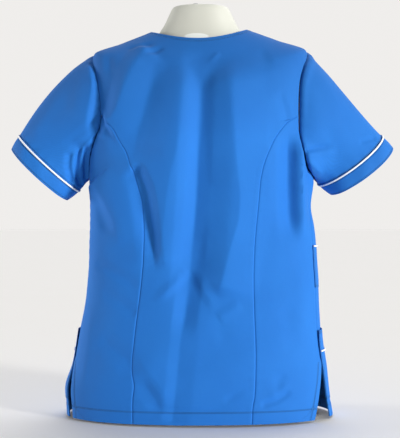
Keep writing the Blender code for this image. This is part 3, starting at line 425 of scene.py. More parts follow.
def centrePanelAt(face, across):
    # rows run up both princess seams, the upper armholes and the shoulders to the neckline
    edges = []
    for side in ("left", "right"):
        seamTurn, seamLevel = princessCurve(side, face, lowLevels, climbSteps)
        holeTurn, holeLevel = armholeCurve(side, face, 1 + np.linspace(0, 1, meshSteps["armhole"] + 1)[1:])
        shoulder = np.linspace(tunic["tip"], tunic["neck"], meshSteps["shoulder"] + 1)[1:]
        edges.append((np.concatenate((seamTurn, holeTurn, np.full(len(shoulder), np.pi / 2 * sideSign[side]))),
                      np.concatenate((seamLevel, holeLevel, shoulder))))
    (leftTurn, leftLevel), (rightTurn, rightLevel) = edges
    if face == "front":
        rightTurn = rightTurn + 2 * np.pi
    across = across[None, :]
    return (leftTurn[:, None] * (1 - across) + rightTurn[:, None] * across,
            leftLevel[:, None] * (1 - across) + rightLevel[:, None] * across)


def densePath(path):
    # the line through a crease's points, as 10 points on a smooth curve
    points = np.array(path)
    run = np.concatenate(([0.0], np.cumsum(np.linalg.norm(np.diff(points, axis=0), axis=1))))
    at = np.linspace(0, run[-1], 10)
    return np.stack((smoothAt(run, points[:, 0], at), smoothAt(run, points[:, 1], at)), -1)


def creaseHeight(x, z, creases):
    # with t the distance over the half width, a bell is exp(-t^2) and a tent 1 - t down to 0, its corners eased;
    # both fade at the two ends of their line
    height = np.zeros(x.shape)
    for kind, path, left, right, out, fadeIn, fadeOut in creases:
        points = densePath(path)
        reach = (3.2 if kind == "bell" else 1.6) * max(left, right)
        near = ((x > points[:, 0].min() - reach) & (x < points[:, 0].max() + reach)
                & (z > points[:, 1].min() - reach) & (z < points[:, 1].max() + reach))
        if not near.any():
            continue
        place = np.stack((x[near], z[near]), -1)
        best = np.full(len(place), 9.0)
        share, turned = np.zeros(len(place)), np.zeros(len(place))
        for index, (start, end) in enumerate(zip(points[:-1], points[1:])):
            run = end - start
            along = np.clip((place - start) @ run / (run @ run), 0, 1)
            away = place - start - along[:, None] * run
            distance = np.linalg.norm(away, axis=1)
            closer = distance < best
            best = np.where(closer, distance, best)
            share = np.where(closer, (index + along) / (len(points) - 1), share)
            turned = np.where(closer, run[0] * (place[:, 1] - start[1]) - run[1] * (place[:, 0] - start[0]), turned)
        width = np.where(turned > 0, left, right)
        taper = ease(share / max(fadeIn, 0.02)) * ease((1 - share) / max(fadeOut, 0.02))
        if kind == "bell":
            shape = np.exp(-(best / width) ** 2)
        else:
            down = 1 - (np.sqrt(best ** 2 + 0.0014 ** 2) - 0.0014) / width
            shape = (down + np.sqrt(down ** 2 + 0.010)) / 2 * ease((1.5 - best / width) / 0.5)
        height[near] += out * taper * shape
    return height


def clothPoint(turn, level):
    # body point moved out along its normal by the creases of its own face
    point, normal = bodyPoint(turn, level), bodyNormal(turn, level)
    x, y, z = point[..., 0], point[..., 1], point[..., 2]
    height = creaseHeight(x, z, backCreases) * ease(y / 0.03) + creaseHeight(x, z, frontCreases) * ease(-y / 0.03)
    # inward creases stay clear of the form, which is closest at the shoulders: with s = h / L,
    # h / (1 + s^4)^(1/4)
    clear = 0.0145 + (0.0046 - 0.0145) * ease((z - 0.580) / 0.085)
    height = np.where(height < 0, height / (1 + (height / clear) ** 4) ** 0.25, height)
    # slow unevenness of hung cloth: three crossed waves
    height += 0.0005 * (np.sin(41 * x + 17 * z) * np.sin(23 * z - 9 * x + 1.3) + 0.6 * np.sin(73 * z + 31 * x + 2.1))
    return point + normal * height[..., None], normal


def runAlong(points, axis):
    # distance covered along a grid's rows or columns
    step = np.linalg.norm(np.diff(points, axis=axis), axis=-1)
    return np.insert(np.cumsum(step, axis=axis), 0, 0.0, axis=axis)


seam = {"groove": 0.0012, "grooveWidth": 0.0013, "ridge": 0.0001, "ridgeAt": 0.0065, "ridgeWidth": 0.0030,
        "pucker": 0.00035, "puckerLength": 0.017, "puckerReach": 0.009}


def seamRelief(distance, along, groove=1.0, pucker=1.0):
    # groove - exp(-(d/w)^2), a ridge where the turned edges lie under the cloth, and waves along the seam
    wave = np.sin(2 * np.pi * along / seam["puckerLength"] + 1.7 * np.sin(along * 31.0))
    strength = 0.55 + 0.45 * np.sin(along * 19.0 + 0.7)
    return (-groove * seam["groove"] * np.exp(-(distance / seam["grooveWidth"]) ** 2)
            + seam["ridge"] * np.exp(-((distance - seam["ridgeAt"]) / seam["ridgeWidth"]) ** 2)
            + pucker * seam["pucker"] * wave * strength * np.exp(-(distance / seam["puckerReach"]) ** 2))


def gridNormals(points, around=False):
    # cross product of the steps across and up the grid
    if around:
        wide = np.concatenate((points[:, -1:], points, points[:, :1]), axis=1)
        across = (wide[:, 2:] - wide[:, :-2]) / 2
    else:
        across = np.gradient(points, axis=1)
    return unit(np.cross(np.gradient(points, axis=0), across))


def addMesh(name, vertices, quads, material, layers, sharpAngle=42.0):
    # vertices, four-cornered faces, and per-vertex pairs kept as UV maps
    mesh = bpy.data.meshes.new(name)
    mesh.vertices.add(len(vertices))
    mesh.vertices.foreach_set("co", np.ascontiguousarray(vertices, dtype=np.float32).ravel())
    mesh.loops.add(quads.size)
    mesh.loops.foreach_set("vertex_index", quads.astype(np.int32).ravel())
    mesh.polygons.add(len(quads))
    mesh.polygons.foreach_set("loop_start", np.arange(0, quads.size, 4, dtype=np.int32))
    mesh.update(calc_edges=True)
    for layerName, pairs in layers.items():
        layer = mesh.uv_layers.new(name=layerName)
        layer.data.foreach_set("uv", pairs[quads.ravel()].astype(np.float32).ravel())
    mesh.shade_smooth()
    mesh.set_sharp_from_angle(angle=math.radians(sharpAngle))
    mesh.materials.append(material)
    piece = bpy.data.objects.new(name, mesh)
    bpy.context.collection.objects.link(piece)
    return piece


def gridQuads(rows, columns, around):
    index = np.arange(rows * columns).reshape(rows, columns)
    if around:
        index = np.concatenate((index, index[:, :1]), axis=1)
    a, b, c, d = index[:-1, :-1], index[:-1, 1:], index[1:, 1:], index[1:, :-1]
    return np.stack((a, b, c, d), -1).reshape(-1, 4), index


def clothShell(name, points, normals, thickness, material, cut, stitch, around=False):
    # a thin closed wall: outer grid, the same grid moved in by the cloth's thickness, strips round the borders
    rows, columns = points.shape[:2]
    inner = points - normals * thickness[..., None]
    quads, index = gridQuads(rows, columns, around)
    behind = rows * columns
    strips = [np.stack((index[0, 1:], index[0, :-1], index[0, :-1] + behind, index[0, 1:] + behind), -1),
              np.stack((index[-1, :-1], index[-1, 1:], index[-1, 1:] + behind, index[-1, :-1] + behind), -1)]
    if not around:
        strips += [np.stack((index[:-1, 0], index[1:, 0], index[1:, 0] + behind, index[:-1, 0] + behind), -1),
                   np.stack((index[1:, -1], index[:-1, -1], index[:-1, -1] + behind, index[1:, -1] + behind), -1)]
    faces = np.concatenate([quads, quads[:, ::-1] + behind] + strips)
    vertices = np.concatenate((points.reshape(-1, 3), inner.reshape(-1, 3)))
    # the faces point out where the volume inside them is above 0
    corners = vertices[faces]
    volume = np.sum(corners[:, 0] * np.cross(corners[:, 1], corners[:, 2])
                    + corners[:, 0] * np.cross(corners[:, 2], corners[:, 3]))
    if volume < 0:
        faces = faces[:, ::-1]
    layers = {"cut": np.tile(cut.reshape(-1, 2), (2, 1)), "stitchLine": np.tile(stitch.reshape(-1, 2), (2, 1))}
    return addMesh(name, vertices, faces, material, layers)


def nearestStitch(candidates):
    # of several stitched lines, the one that is closest: way from the line, and way along it
    away = np.stack([line[0] for line in candidates])
    along = np.stack([line[1] for line in candidates])
    pick = np.abs(away).argmin(axis=0)[None]
    return np.stack((np.take_along_axis(along, pick, 0)[0], np.take_along_axis(away, pick, 0)[0]), -1)


def dress(piece, node):
    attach(piece, "root")
    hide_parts(node)
    return piece


# materials

def tree(name):
    material = bpy.data.materials.new(name)
    material.use_nodes = True
    nodes = material.node_tree.nodes
    return material, nodes, material.node_tree.links, nodes["Principled BSDF"]


def add(nodes, links, kind, inputs=(), **settings):
    node = nodes.new(kind)
    for name, value in settings.items():
        setattr(node, name, value)
    for socket, value in dict(inputs).items():
        if isinstance(value, bpy.types.NodeSocket):
            links.new(value, node.inputs[socket])
        else:
            node.inputs[socket].default_value = value
    return node


def calc(nodes, links, operation, first, second=0.0, third=None, clamp=False):
    values = {0: first, 1: second} if third is None else {0: first, 1: second, 2: third}
    return add(nodes, links, "ShaderNodeMath", values, operation=operation, use_clamp=clamp).outputs[0]


clothLook = {
    "colour": (0.012, 0.160, 0.560, 1), "deep": (0.008, 0.122, 0.480, 1), "pale": (0.020, 0.200, 0.640, 1),
    "thread": (0.026, 0.205, 0.640, 1), "roughness": 0.82, "sheen": 0.04, "paintedShadeTop": 0.28, "threadPitch": 0.0009,
    "weaveBump": 0.20, "rumpleBump": 0.22, "stitchLength": 0.0030, "stitchWidth": 0.00045,
}


def clothMaterial(name, look):
    material, nodes, links, shader = tree(name)
    cut = add(nodes, links, "ShaderNodeUVMap", uv_map="cut").outputs[0]
    stitch = add(nodes, links, "ShaderNodeUVMap", uv_map="stitchLine").outputs[0]
    place = add(nodes, links, "ShaderNodeTexCoord").outputs["Object"]
    u, v = add(nodes, links, "ShaderNodeSeparateXYZ", {0: cut}).outputs[:2]
    # plain weave: the warp passes over the weft where the two sines have the same sign
    turns = 2 * math.pi / look["threadPitch"] / 2
    warp = calc(nodes, links, "SINE", calc(nodes, links, "MULTIPLY", u, turns))
    weft = calc(nodes, links, "SINE", calc(nodes, links, "MULTIPLY", v, turns))
    weave = calc(nodes, links, "MULTIPLY_ADD", calc(nodes, links, "MULTIPLY", warp, weft), 0.5, 0.5)
    # slubs: noise drawn out along the warp and along the weft
    slubWarp = add(nodes, links, "ShaderNodeTexNoise", {
        "Vector": add(nodes, links, "ShaderNodeMapping", {"Vector": cut, "Scale": (900, 45, 1)}).outputs[0],
        "Scale": 1.0, "Detail": 2.0}).outputs[0]
    slubWeft = add(nodes, links, "ShaderNodeTexNoise", {
        "Vector": add(nodes, links, "ShaderNodeMapping", {"Vector": cut, "Scale": (45, 900, 1)}).outputs[0],
        "Scale": 1.0, "Detail": 2.0}).outputs[0]
    slub = calc(nodes, links, "ADD", slubWarp, slubWeft)
    patches = add(nodes, links, "ShaderNodeTexNoise", {"Vector": place, "Scale": 11.0, "Detail": 3.0}).outputs[0]
    rumple = add(nodes, links, "ShaderNodeTexNoise", {"Vector": place, "Scale": 34.0, "Detail": 4.0,
                                                      "Roughness": 0.55}).outputs[0]
    # stitches: a dash where the way from the line is small and the way along it is in the dash's share
    along, away = add(nodes, links, "ShaderNodeSeparateXYZ", {0: stitch}).outputs[:2]
    away = calc(nodes, links, "ABSOLUTE", away)
    onLine = calc(nodes, links, "LESS_THAN", away, look["stitchWidth"])
    dash = calc(nodes, links, "LESS_THAN", calc(nodes, links, "FRACT", calc(
        nodes, links, "DIVIDE", along, look["stitchLength"])), 0.72)
    thread = calc(nodes, links, "MULTIPLY", onLine, dash)
    # painted shade: a narrow band along each stitched line darkens the colour below; the same band is the groove in the
    # stitch bump
    seamGrooveAndPaintedShade = calc(nodes, links, "EXPONENT", calc(nodes, links, "MULTIPLY", calc(
        nodes, links, "POWER", calc(nodes, links, "DIVIDE", away, 0.0012), 2.0), -1.0))
    # colour: patches and slubs between a deep and a pale blue, the weave's hollows darker, painted shade darkening the
    # cloth along the stitched lines, thread paler
    toneAt = calc(nodes, links, "MULTIPLY_ADD", patches, 1.3, -0.32, clamp=True)
    toneAt = calc(nodes, links, "ADD", toneAt, calc(nodes, links, "MULTIPLY_ADD", slub, 0.5, -0.5), clamp=True)
    base = add(nodes, links, "ShaderNodeMix", {"Factor": toneAt, "A": look["deep"], "B": look["pale"]},
               data_type="RGBA")
    even = add(nodes, links, "ShaderNodeMix", {"Factor": 0.70, "A": base.outputs["Result"], "B": look["colour"]},
               data_type="RGBA")
    weaveAndPaintedShade = calc(nodes, links, "MULTIPLY_ADD", calc(nodes, links, "ADD", calc(nodes, links, "MULTIPLY", weave, 0.10),
                  calc(nodes, links, "MULTIPLY", seamGrooveAndPaintedShade, -0.60)), 1.0, 0.92)
    # painted shade: the colour is darker toward the shoulders, standing in for the shade on the upper back
    high = calc(nodes, links, "MULTIPLY_ADD", add(nodes, links, "ShaderNodeSeparateXYZ", {0: place}).outputs[2],
                5.0, -2.6, clamp=True)
    weaveAndPaintedShade = calc(nodes, links, "MULTIPLY", weaveAndPaintedShade, calc(nodes, links, "MULTIPLY_ADD", high, -look["paintedShadeTop"], 1.0))
    shaded = add(nodes, links, "ShaderNodeVectorMath", {0: even.outputs["Result"]}, operation="SCALE")
    links.new(weaveAndPaintedShade, shaded.inputs["Scale"])
    final = add(nodes, links, "ShaderNodeMix", {"Factor": thread, "A": shaded.outputs[0], "B": look["thread"]},
                data_type="RGBA")
    links.new(final.outputs["Result"], shader.inputs["Base Color"])
    rough = calc(nodes, links, "MULTIPLY_ADD", slub, 0.10, look["roughness"] - 0.10)
    links.new(rough, shader.inputs["Roughness"])
    shader.inputs["Sheen Weight"].default_value = look["sheen"]
    shader.inputs["Sheen Roughness"].default_value = 0.45
    shader.inputs["Sheen Tint"].default_value = (0.55, 0.74, 1.0, 1)
    shader.inputs["Specular IOR Level"].default_value = 0.28
    height = calc(nodes, links, "MULTIPLY_ADD", slub, 0.4, weave)
    fine = add(nodes, links, "ShaderNodeBump", {"Height": height, "Strength": look["weaveBump"],
                                                "Distance": 0.00018})
    raised = calc(nodes, links, "SUBTRACT", thread, calc(nodes, links, "MULTIPLY", seamGrooveAndPaintedShade, 1.6))
    sewn = add(nodes, links, "ShaderNodeBump", {"Height": raised, "Strength": 0.8, "Distance": 0.0004,
                                                "Normal": fine.outputs[0]})
    soft = add(nodes, links, "ShaderNodeBump", {"Height": rumple, "Strength": look["rumpleBump"],
                                                "Distance": 0.0022, "Normal": sewn.outputs[0]})
    links.new(soft.outputs[0], shader.inputs["Normal"])
    return material


def pipingMaterial():
    # bias-cut cord covering: fine threads run slantwise round it, slightly greyed between them
    material, nodes, links, shader = tree("whitePiping")
    cut = add(nodes, links, "ShaderNodeUVMap", uv_map="cut").outputs[0]
    u, v = add(nodes, links, "ShaderNodeSeparateXYZ", {0: cut}).outputs[:2]
    slant = calc(nodes, links, "ADD", calc(nodes, links, "MULTIPLY", u, 2800.0), calc(nodes, links, "MULTIPLY", v, 2800.0))
    threads = calc(nodes, links, "MULTIPLY_ADD", calc(nodes, links, "SINE", slant), 0.5, 0.5)
    grime = add(nodes, links, "ShaderNodeTexNoise", {
        "Vector": add(nodes, links, "ShaderNodeTexCoord").outputs["Object"], "Scale": 60.0, "Detail": 3.0}).outputs[0]
    factor = calc(nodes, links, "MULTIPLY_ADD", threads, 0.35, calc(nodes, links, "MULTIPLY", grime, 0.65), clamp=True)
    tone = add(nodes, links, "ShaderNodeMix", {"Factor": factor, "A": (0.78, 0.82, 0.88, 1), "B": (0.95, 0.96, 0.97, 1)},
               data_type="RGBA")
    links.new(tone.outputs["Result"], shader.inputs["Base Color"])
    links.new(calc(nodes, links, "MULTIPLY_ADD", grime, 0.15, 0.55), shader.inputs["Roughness"])
    shader.inputs["Sheen Weight"].default_value = 0.15
    bump = add(nodes, links, "ShaderNodeBump", {"Height": threads, "Strength": 0.35, "Distance": 0.00025})
    links.new(bump.outputs[0], shader.inputs["Normal"])
    return material


def formMaterial():
    # moulded plastic: faint clouding, a fine orange-peel skin, and a painted highlight, a paler oval at the nape
    material, nodes, links, shader = tree("formPlastic")
    place = add(nodes, links, "ShaderNodeTexCoord").outputs["Object"]
    clouds = add(nodes, links, "ShaderNodeTexNoise", {"Vector": place, "Scale": 9.0, "Detail": 4.0}).outputs[0]
    peel = add(nodes, links, "ShaderNodeTexNoise", {"Vector": place, "Scale": 620.0, "Detail": 2.0}).outputs[0]
    x, y, z = add(nodes, links, "ShaderNodeSeparateXYZ", {0: place}).outputs
    # painted highlight: a paler oval on the back of the neck, where the nape catches the light
    wide = calc(nodes, links, "POWER", calc(nodes, links, "DIVIDE", calc(nodes, links, "SUBTRACT", x, 0.0065), 0.0225), 2.0)
    tall = calc(nodes, links, "POWER", calc(nodes, links, "DIVIDE", calc(nodes, links, "SUBTRACT", z, 0.7150), 0.0060), 2.0)
    inside = calc(nodes, links, "MULTIPLY_ADD", calc(nodes, links, "ADD", wide, tall), -2.6, 3.1, clamp=True)
    paintedNapeHighlight = calc(nodes, links, "MULTIPLY", inside, calc(nodes, links, "GREATER_THAN", y, 0.0))
    tone = add(nodes, links, "ShaderNodeMix", {"Factor": clouds, "A": (0.515, 0.520, 0.460, 1), "B": (0.580, 0.585, 0.530, 1)},
               data_type="RGBA")
    pale = add(nodes, links, "ShaderNodeMix", {"Factor": paintedNapeHighlight, "A": tone.outputs["Result"], "B": (0.76, 0.79, 0.76, 1)},
               data_type="RGBA")
    links.new(pale.outputs["Result"], shader.inputs["Base Color"])
    links.new(calc(nodes, links, "MULTIPLY_ADD", clouds, 0.16, 0.34), shader.inputs["Roughness"])
    bump = add(nodes, links, "ShaderNodeBump", {"Height": peel, "Strength": 0.12, "Distance": 0.0004})
    links.new(bump.outputs[0], shader.inputs["Normal"])
    return material


def ferruleMaterial():
    # turned steel: fine rings about the knob's own axis, dulled in patches
    material, nodes, links, shader = tree("ferruleSteel")
    place = add(nodes, links, "ShaderNodeTexCoord").outputs["Object"]
    centred = add(nodes, links, "ShaderNodeMapping", {"Vector": place, "Location": (-0.008, 0, 0)}).outputs[0]
    rings = add(nodes, links, "ShaderNodeTexWave", {"Vector": centred, "Scale": 900.0, "Distortion": 0.6},
                wave_type="RINGS", rings_direction="Z").outputs[1]
    dull = add(nodes, links, "ShaderNodeTexNoise", {"Vector": place, "Scale": 210.0, "Detail": 3.0}).outputs[0]
    tone = add(nodes, links, "ShaderNodeMix", {"Factor": dull, "A": (0.16, 0.16, 0.165, 1), "B": (0.42, 0.42, 0.43, 1)},
               data_type="RGBA")
    links.new(tone.outputs["Result"], shader.inputs["Base Color"])
    links.new(calc(nodes, links, "MULTIPLY_ADD", dull, 0.3, 0.25), shader.inputs["Roughness"])
    shader.inputs["Metallic"].default_value = 1.0
    bump = add(nodes, links, "ShaderNodeBump", {"Height": rings, "Strength": 0.2, "Distance": 0.0002})
    links.new(bump.outputs[0], shader.inputs["Normal"])
    return material


tunicCloth = clothMaterial("tunicCloth", clothLook)
cuffCloth = clothMaterial("cuffCloth", dict(clothLook, rumpleBump=0.18, roughness=0.76))
whitePiping = pipingMaterial()
formPlastic = formMaterial()
ferruleSteel = ferruleMaterial()
print("materials made")


# body panels

def panelRelief(points, level, edges):
    # relief of a panel's long seams; edges say what runs along its first and last columns
    across = runAlong(points, 1)
    back = across[:, -1:] - across
    relief = np.zeros(across.shape)
    for distance, (groove, pucker), column in ((across, edges[0], 0), (back, edges[1], -1)):
        relief += seamRelief(distance, level[:, column:][:, :1] if column == 0 else level[:, -1:], groove, pucker)
    return relief, across, back


def ventShare(level):
    return ease((level - tunic["ventTop"] + 0.006) / 0.012)


hemFinish = {"turned": 0.023, "ventTurned": 0.012, "neckLine": 0.006, "proud": 0.0005}
panels = {}


def finishPanel(name, points, normals, level, relief, thickness, stitchLines, size):
    points = points + normals * relief[..., None]
    normals = gridNormals(points)
    if np.sum(normals * (points - points.mean(axis=(0, 1)) * (1, 0, 1))) < 0:
        normals = -normals
    across, up = runAlong(points, 1), runAlong(points, 0)
    cut = np.stack((across - across[:, -1:] / 2, up), -1)
    lines = [(away, run) for away, run in stitchLines]
    piece = clothShell(name, points, normals, thickness, tunicCloth, cut, nearestStitch(lines))
    dress(piece, size["node"])
    panels[size["node"]] = (points, normals)
    area = np.sum(np.linalg.norm(np.cross(points[1:, :-1] - points[:-1, :-1], points[:-1, 1:] - points[:-1, :-1]), axis=-1))
    print(name, "area %.4f" % area, "width %.3f height %.3f" % (across.max(), up.max()))
    return piece


centreCuts = {
    "back": {"node": "back_centre", "flat": (0.430, 0.760), "area": 0.208, "restsOn": ["torso_form"]},
    "front": {"node": "front_centre", "flat": (0.430, 0.760), "area": 0.179, "restsOn": ["torso_form"]},
}
sideCuts = {
    ("left", "back"): {"node": "back_side_left", "flat": (0.145, 0.600), "area": 0.0715, "restsOn": ["back_centre"]},
    ("right", "back"): {"node": "back_side_right", "flat": (0.154, 0.600), "area": 0.0697, "restsOn": ["back_centre"]},
    ("left", "front"): {"node": "front_side_left", "flat": (0.235, 0.610), "area": 0.0970, "restsOn": ["front_centre"]},
    ("right", "front"): {"node": "front_side_right", "flat": (0.236, 0.610), "area": 0.107, "restsOn": ["front_centre"]},
}


def buildCentrePanel(face):
    turn, level = centrePanelAt(face, closerAtEnds(meshSteps["centre"]))
    points, normals = clothPoint(turn, level)
    firstHole = len(lowLevels) + len(climbSteps)
    # the groove deepens where the column runs up the armhole, most of all on the wearer's right back
    rows = np.arange(len(points))[:, None]
    up = ease((rows - firstHole + 4) / 8) * ease((firstHole + meshSteps["armhole"] - rows + 3) / 6)
    deep = {"left": 1 - 0.4 * up, "right": 1 + (1.2 if face == "back" else 0.4) * up}
    relief, across, back = panelRelief(points, level, ((deep["left"], 1.0), (deep["right"], 1.0)))
    upRun = runAlong(points, 0)
    fromNeck = upRun[-1:] - upRun
    fromHem = upRun
    thickness = tunic["cloth"] + (tunic["turnedCloth"] - tunic["cloth"]) * np.maximum(
        ease((hemFinish["turned"] - fromHem) / 0.002), ease((0.008 - fromNeck) / 0.002))
    relief += hemFinish["proud"] * ease((hemFinish["turned"] - fromHem) / 0.003)
    relief += hemFinish["proud"] * ease((0.008 - fromNeck) / 0.003)
    stitchLines = [(fromHem - hemFinish["turned"] + 0.001, across), (fromNeck - hemFinish["neckLine"], across)]
    return finishPanel(face + "CentrePanel", points, normals, level, relief, thickness, stitchLines, centreCuts[face])


def buildSidePanel(side, face):
    turn, level = sidePanelAt(side, face, lowLevels, climbSteps, closerAtEnds(meshSteps["side"]))
    points, normals = clothPoint(turn, level)
    overVent = ventShare(level[:, -1:])
    relief, across, back = panelRelief(points, level, ((1.0, 1.0), (overVent, overVent)))
    upRun = runAlong(points, 0)
    fromTop = upRun[-1:] - upRun
    relief += seamRelief(fromTop, across, 1.4, 0.8)
    fromHem = upRun
    vent = (1 - overVent) * ease((hemFinish["ventTurned"] - back) / 0.002)
    thickness = tunic["cloth"] + (tunic["turnedCloth"] - tunic["cloth"]) * np.maximum(
        ease((hemFinish["turned"] - fromHem) / 0.002), vent)
    relief += hemFinish["proud"] * np.maximum(ease((hemFinish["turned"] - fromHem) / 0.003), vent)
    besideVent = np.where(level < tunic["ventTop"], back - hemFinish["ventTurned"] + 0.001, 1.0)
    stitchLines = [(fromHem - hemFinish["turned"] + 0.001, across), (besideVent, upRun)]
    names = {"left": "Left", "right": "Right"}
    return finishPanel(face + "SidePanel" + names[side], points, normals, level, relief, thickness, stitchLines,
                       sideCuts[side, face])


for face in ("back", "front"):
    buildCentrePanel(face)
    for side in ("left", "right"):
        buildSidePanel(side, face)
print("body panels made")


# sleeves, cuffs and the piping on their seam

sleeveSteps = {"around": 76, "along": 62, "cuff": 9}


def sleeveFrame(side):
    # start ring on the armhole, hem ring, and the ways the cloth leaves and arrives, all round the sleeve
    half = np.linspace(0, 2, sleeveSteps["around"] + 1)
    backTurn, backLevel = armholeCurve(side, "back", half)
    frontTurn, frontLevel = armholeCurve(side, "front", half)
    turn = np.concatenate((backTurn, frontTurn[::-1][1:-1]))
    level = np.concatenate((backLevel, frontLevel[::-1][1:-1]))
    hole = clothPoint(turn, level)[0]
    holeNormal = bodyNormal(turn, level)
    angle = np.concatenate((np.pi - half * np.pi / 2, -(half * np.pi / 2)[1:-1]))
    size, sign = sleeves[side], sideSign[side]
    outer = np.array((size["outer"][0] * sign, sleeveCut["middleY"], size["outer"][1]))
    inner = np.array((size["inner"][0] * sign, sleeveCut["middleY"], size["inner"][1]))

    def falling(degrees):
        way = np.radians(degrees)
        return np.stack((np.cos(way) * sign, np.zeros_like(way), -np.sin(way)), -1)

    top = (1 + np.cos(angle)) / 2
    endWay = falling(size["fallInner"] + (size["fallOuter"] - size["fallInner"]) * top)
    hem = (outer + inner) / 2 + (outer - inner) / 2 * np.cos(angle)[:, None]
    hem = hem + (np.array((0, sleeveCut["halfDepth"], 0)) + endWay * size["dip"]) * np.sin(angle)[:, None]
    seamRing = hem - endWay * sleeveCut["cuff"]
    startWay = falling(sleeveCut["startUnder"] + (size["start"] - sleeveCut["startUnder"]) * top ** 2)
    startWay[:, 1] += size["fullness"] * np.sin(angle)
    return hole, holeNormal, seamRing, hem, unit(startWay), endWay, angle


def outwardNormals(points):
    # grid normals turned away from the middle of each ring
    normals = gridNormals(points, around=True)
    away = points - points.mean(axis=1, keepdims=True)
    return normals * np.sign(np.sum(normals * away, axis=-1, keepdims=True).mean())


def buildSleeve(side):
    hole, holeNormal, seamRing, hem, startWay, endWay, angle = sleeveFrame(side)
    # each thread of the sleeve is a cubic curve from the armhole to the cuff seam
    part = closerAtEnds(sleeveSteps["along"], 0.75)[:, None, None]
    reach = np.linalg.norm(seamRing - hole, axis=1)[:, None] / 3
    points = (hole * (1 - part) ** 3 + 3 * (hole + startWay * reach) * (1 - part) ** 2 * part
              + 3 * (seamRing - endWay * reach) * (1 - part) * part ** 2 + seamRing * part ** 3)
    normals = outwardNormals(points)
    down = runAlong(points, 0)
    fromHole, fromCuff = down, down[-1:] - down
    onBack = ease((points[..., 1] - sleeveCut["middleY"]) / 0.02 + 0.2)
    height = creaseHeight(points[..., 0], points[..., 2], backSleeveCreases) * onBack
    height += creaseHeight(points[..., 0], points[..., 2], frontSleeveCreases) * (1 - onBack)
    height *= ease(fromHole / 0.010) * ease(fromCuff / 0.006)
    # the head of the sleeve is eased in: it swells past the seam, and its seam lies in a groove
    run = runAlong(np.concatenate((points, points[:, :1]), axis=1), 1)[:, :-1]
    head = np.clip(np.cos(angle), 0, 1)[None, :] ** 0.5
    swell = (0.0022 if side == "right" else 0.0005) * np.exp(-((fromHole - 0.011) / 0.008) ** 2) * (0.35 + 0.65 * head)
    groove = -(0.0030 if side == "right" else 0.0008) * np.exp(-(fromHole / 0.0030) ** 2)
    ripples = 0.0005 * np.sin(2 * np.pi * run / 0.019) * np.exp(-(fromHole / 0.018) ** 2)
    gather = 0.0004 * np.sin(2 * np.pi * run / 0.023 + 1.0) * np.exp(-(fromCuff / 0.016) ** 2)
    points = points + normals * (height + swell + groove + ripples + gather)[..., None]
    normals = outwardNormals(points)
    thickness = np.full(down.shape, tunic["cloth"])
    cut = np.stack((run - run[:, -1:] / 2, -down), -1)
    stitch = nearestStitch([(fromCuff - 0.004, run), (fromHole + 1.0, run)])
    piece = clothShell("sleeve" + side.capitalize(), points, normals, thickness, tunicCloth, cut, stitch, around=True)
    dress(piece, "sleeve_" + side)
    print("sleeve", side, "around %.3f down %.3f" % (run.max(), down.max()))
    return seamRing, hem, points[-1], normals[-1]


def buildCuff(side, seamRing, hem, firstNormals):
    # a turned band: straight from the seam to the hem, slightly full in the middle of its depth
    part = np.linspace(0, 1, sleeveSteps["cuff"] + 1)[:, None, None]
    points = seamRing * (1 - part) + hem * part
    normals = outwardNormals(points)
    run = runAlong(np.concatenate((points, points[:, :1]), axis=1), 1)[:, :-1]
    full = 0.0009 * np.sin(np.pi * part[..., 0]) + 0.0006 + 0.0004 * np.sin(2 * np.pi * run / 0.047 + 3 * part[..., 0])
    points = points + normals * full[..., None]
    normals = outwardNormals(points)
    thickness = np.full(run.shape, tunic["turnedCloth"])
    down = runAlong(points, 0)
    cut = np.stack((run, -down), -1)
    stitch = nearestStitch([(down[-1:] - down - 0.003, run), (down - 0.003, run)])
    piece = clothShell("cuff" + side.capitalize(), points, normals, thickness, cuffCloth, cut, stitch, around=True)
    dress(piece, "cuff_" + side)


pipingSize = {"halfWidth": 0.0016, "halfThickness": 0.0011, "corners": 12}


def buildPiping(name, node, path, out, closed):
    # an oval profile carried along the path: out is the way off the cloth
    along = np.roll(path, -1, axis=0) - np.roll(path, 1, axis=0) if closed else np.gradient(path, axis=0)
    across = unit(np.cross(unit(along), out))
    angle = np.arange(pipingSize["corners"]) * 2 * np.pi / pipingSize["corners"]
    points = (path[:, None] + across[:, None] * np.cos(angle)[None, :, None] * pipingSize["halfWidth"]
              + out[:, None] * np.sin(angle)[None, :, None] * pipingSize["halfThickness"])
    count, corners = points.shape[:2]
    index = np.arange(count * corners).reshape(count, corners)
    ring = np.concatenate((index, index[:, :1]), axis=1)
    if closed:
        ring = np.concatenate((ring, ring[:1]), axis=0)
    quads = np.stack((ring[:-1, :-1], ring[:-1, 1:], ring[1:, 1:], ring[1:, :-1]), -1).reshape(-1, 4)
    vertices = points.reshape(-1, 3)
    if not closed:
        # each end is drawn in to a small dome and closed by quads that meet in its middle
        half = corners // 2
        caps = []
        for first in (0, (count - 1) * corners):
            order = np.arange(corners) + first
            for step in range(half - 1):
                caps.append((order[step], order[step + 1], order[corners - 2 - step], order[corners - 1 - step]))
        quads = np.concatenate((quads, np.array(caps)))
    runs = np.concatenate(([0.0], np.cumsum(np.linalg.norm(np.diff(path, axis=0), axis=1))))
    pairs = np.stack(np.broadcast_arrays(runs[:, None], angle[None, :] * pipingSize["halfWidth"]), -1).reshape(-1, 2)
    piece = addMesh(name, vertices, quads, whitePiping, {"cut": pairs}, sharpAngle=70.0)
    made = bmesh.new()
    made.from_mesh(piece.data)
    bmesh.ops.recalc_face_normals(made, faces=made.faces)
    made.to_mesh(piece.data)
    made.free()
    return dress(piece, node)


for side in ("left", "right"):
    seamRing, hem, lastRing, lastNormals = buildSleeve(side)
    buildCuff(side, seamRing, hem, lastNormals)
    buildPiping("sleevePiping" + side.capitalize(), "sleeve_piping_" + side,
                seamRing + lastNormals * (0.0009 + pipingSize["halfThickness"]), lastNormals, True)
print("sleeves made")


# pockets: their cloth is the front side panel's own surface, moved out

pocketFinish = {"clear": 0.0006, "hipLift": 0.0030, "waistLift": 0.0004, "liftShare": 0.35, "acrossSteps": 44,
                "upSteps": 30}


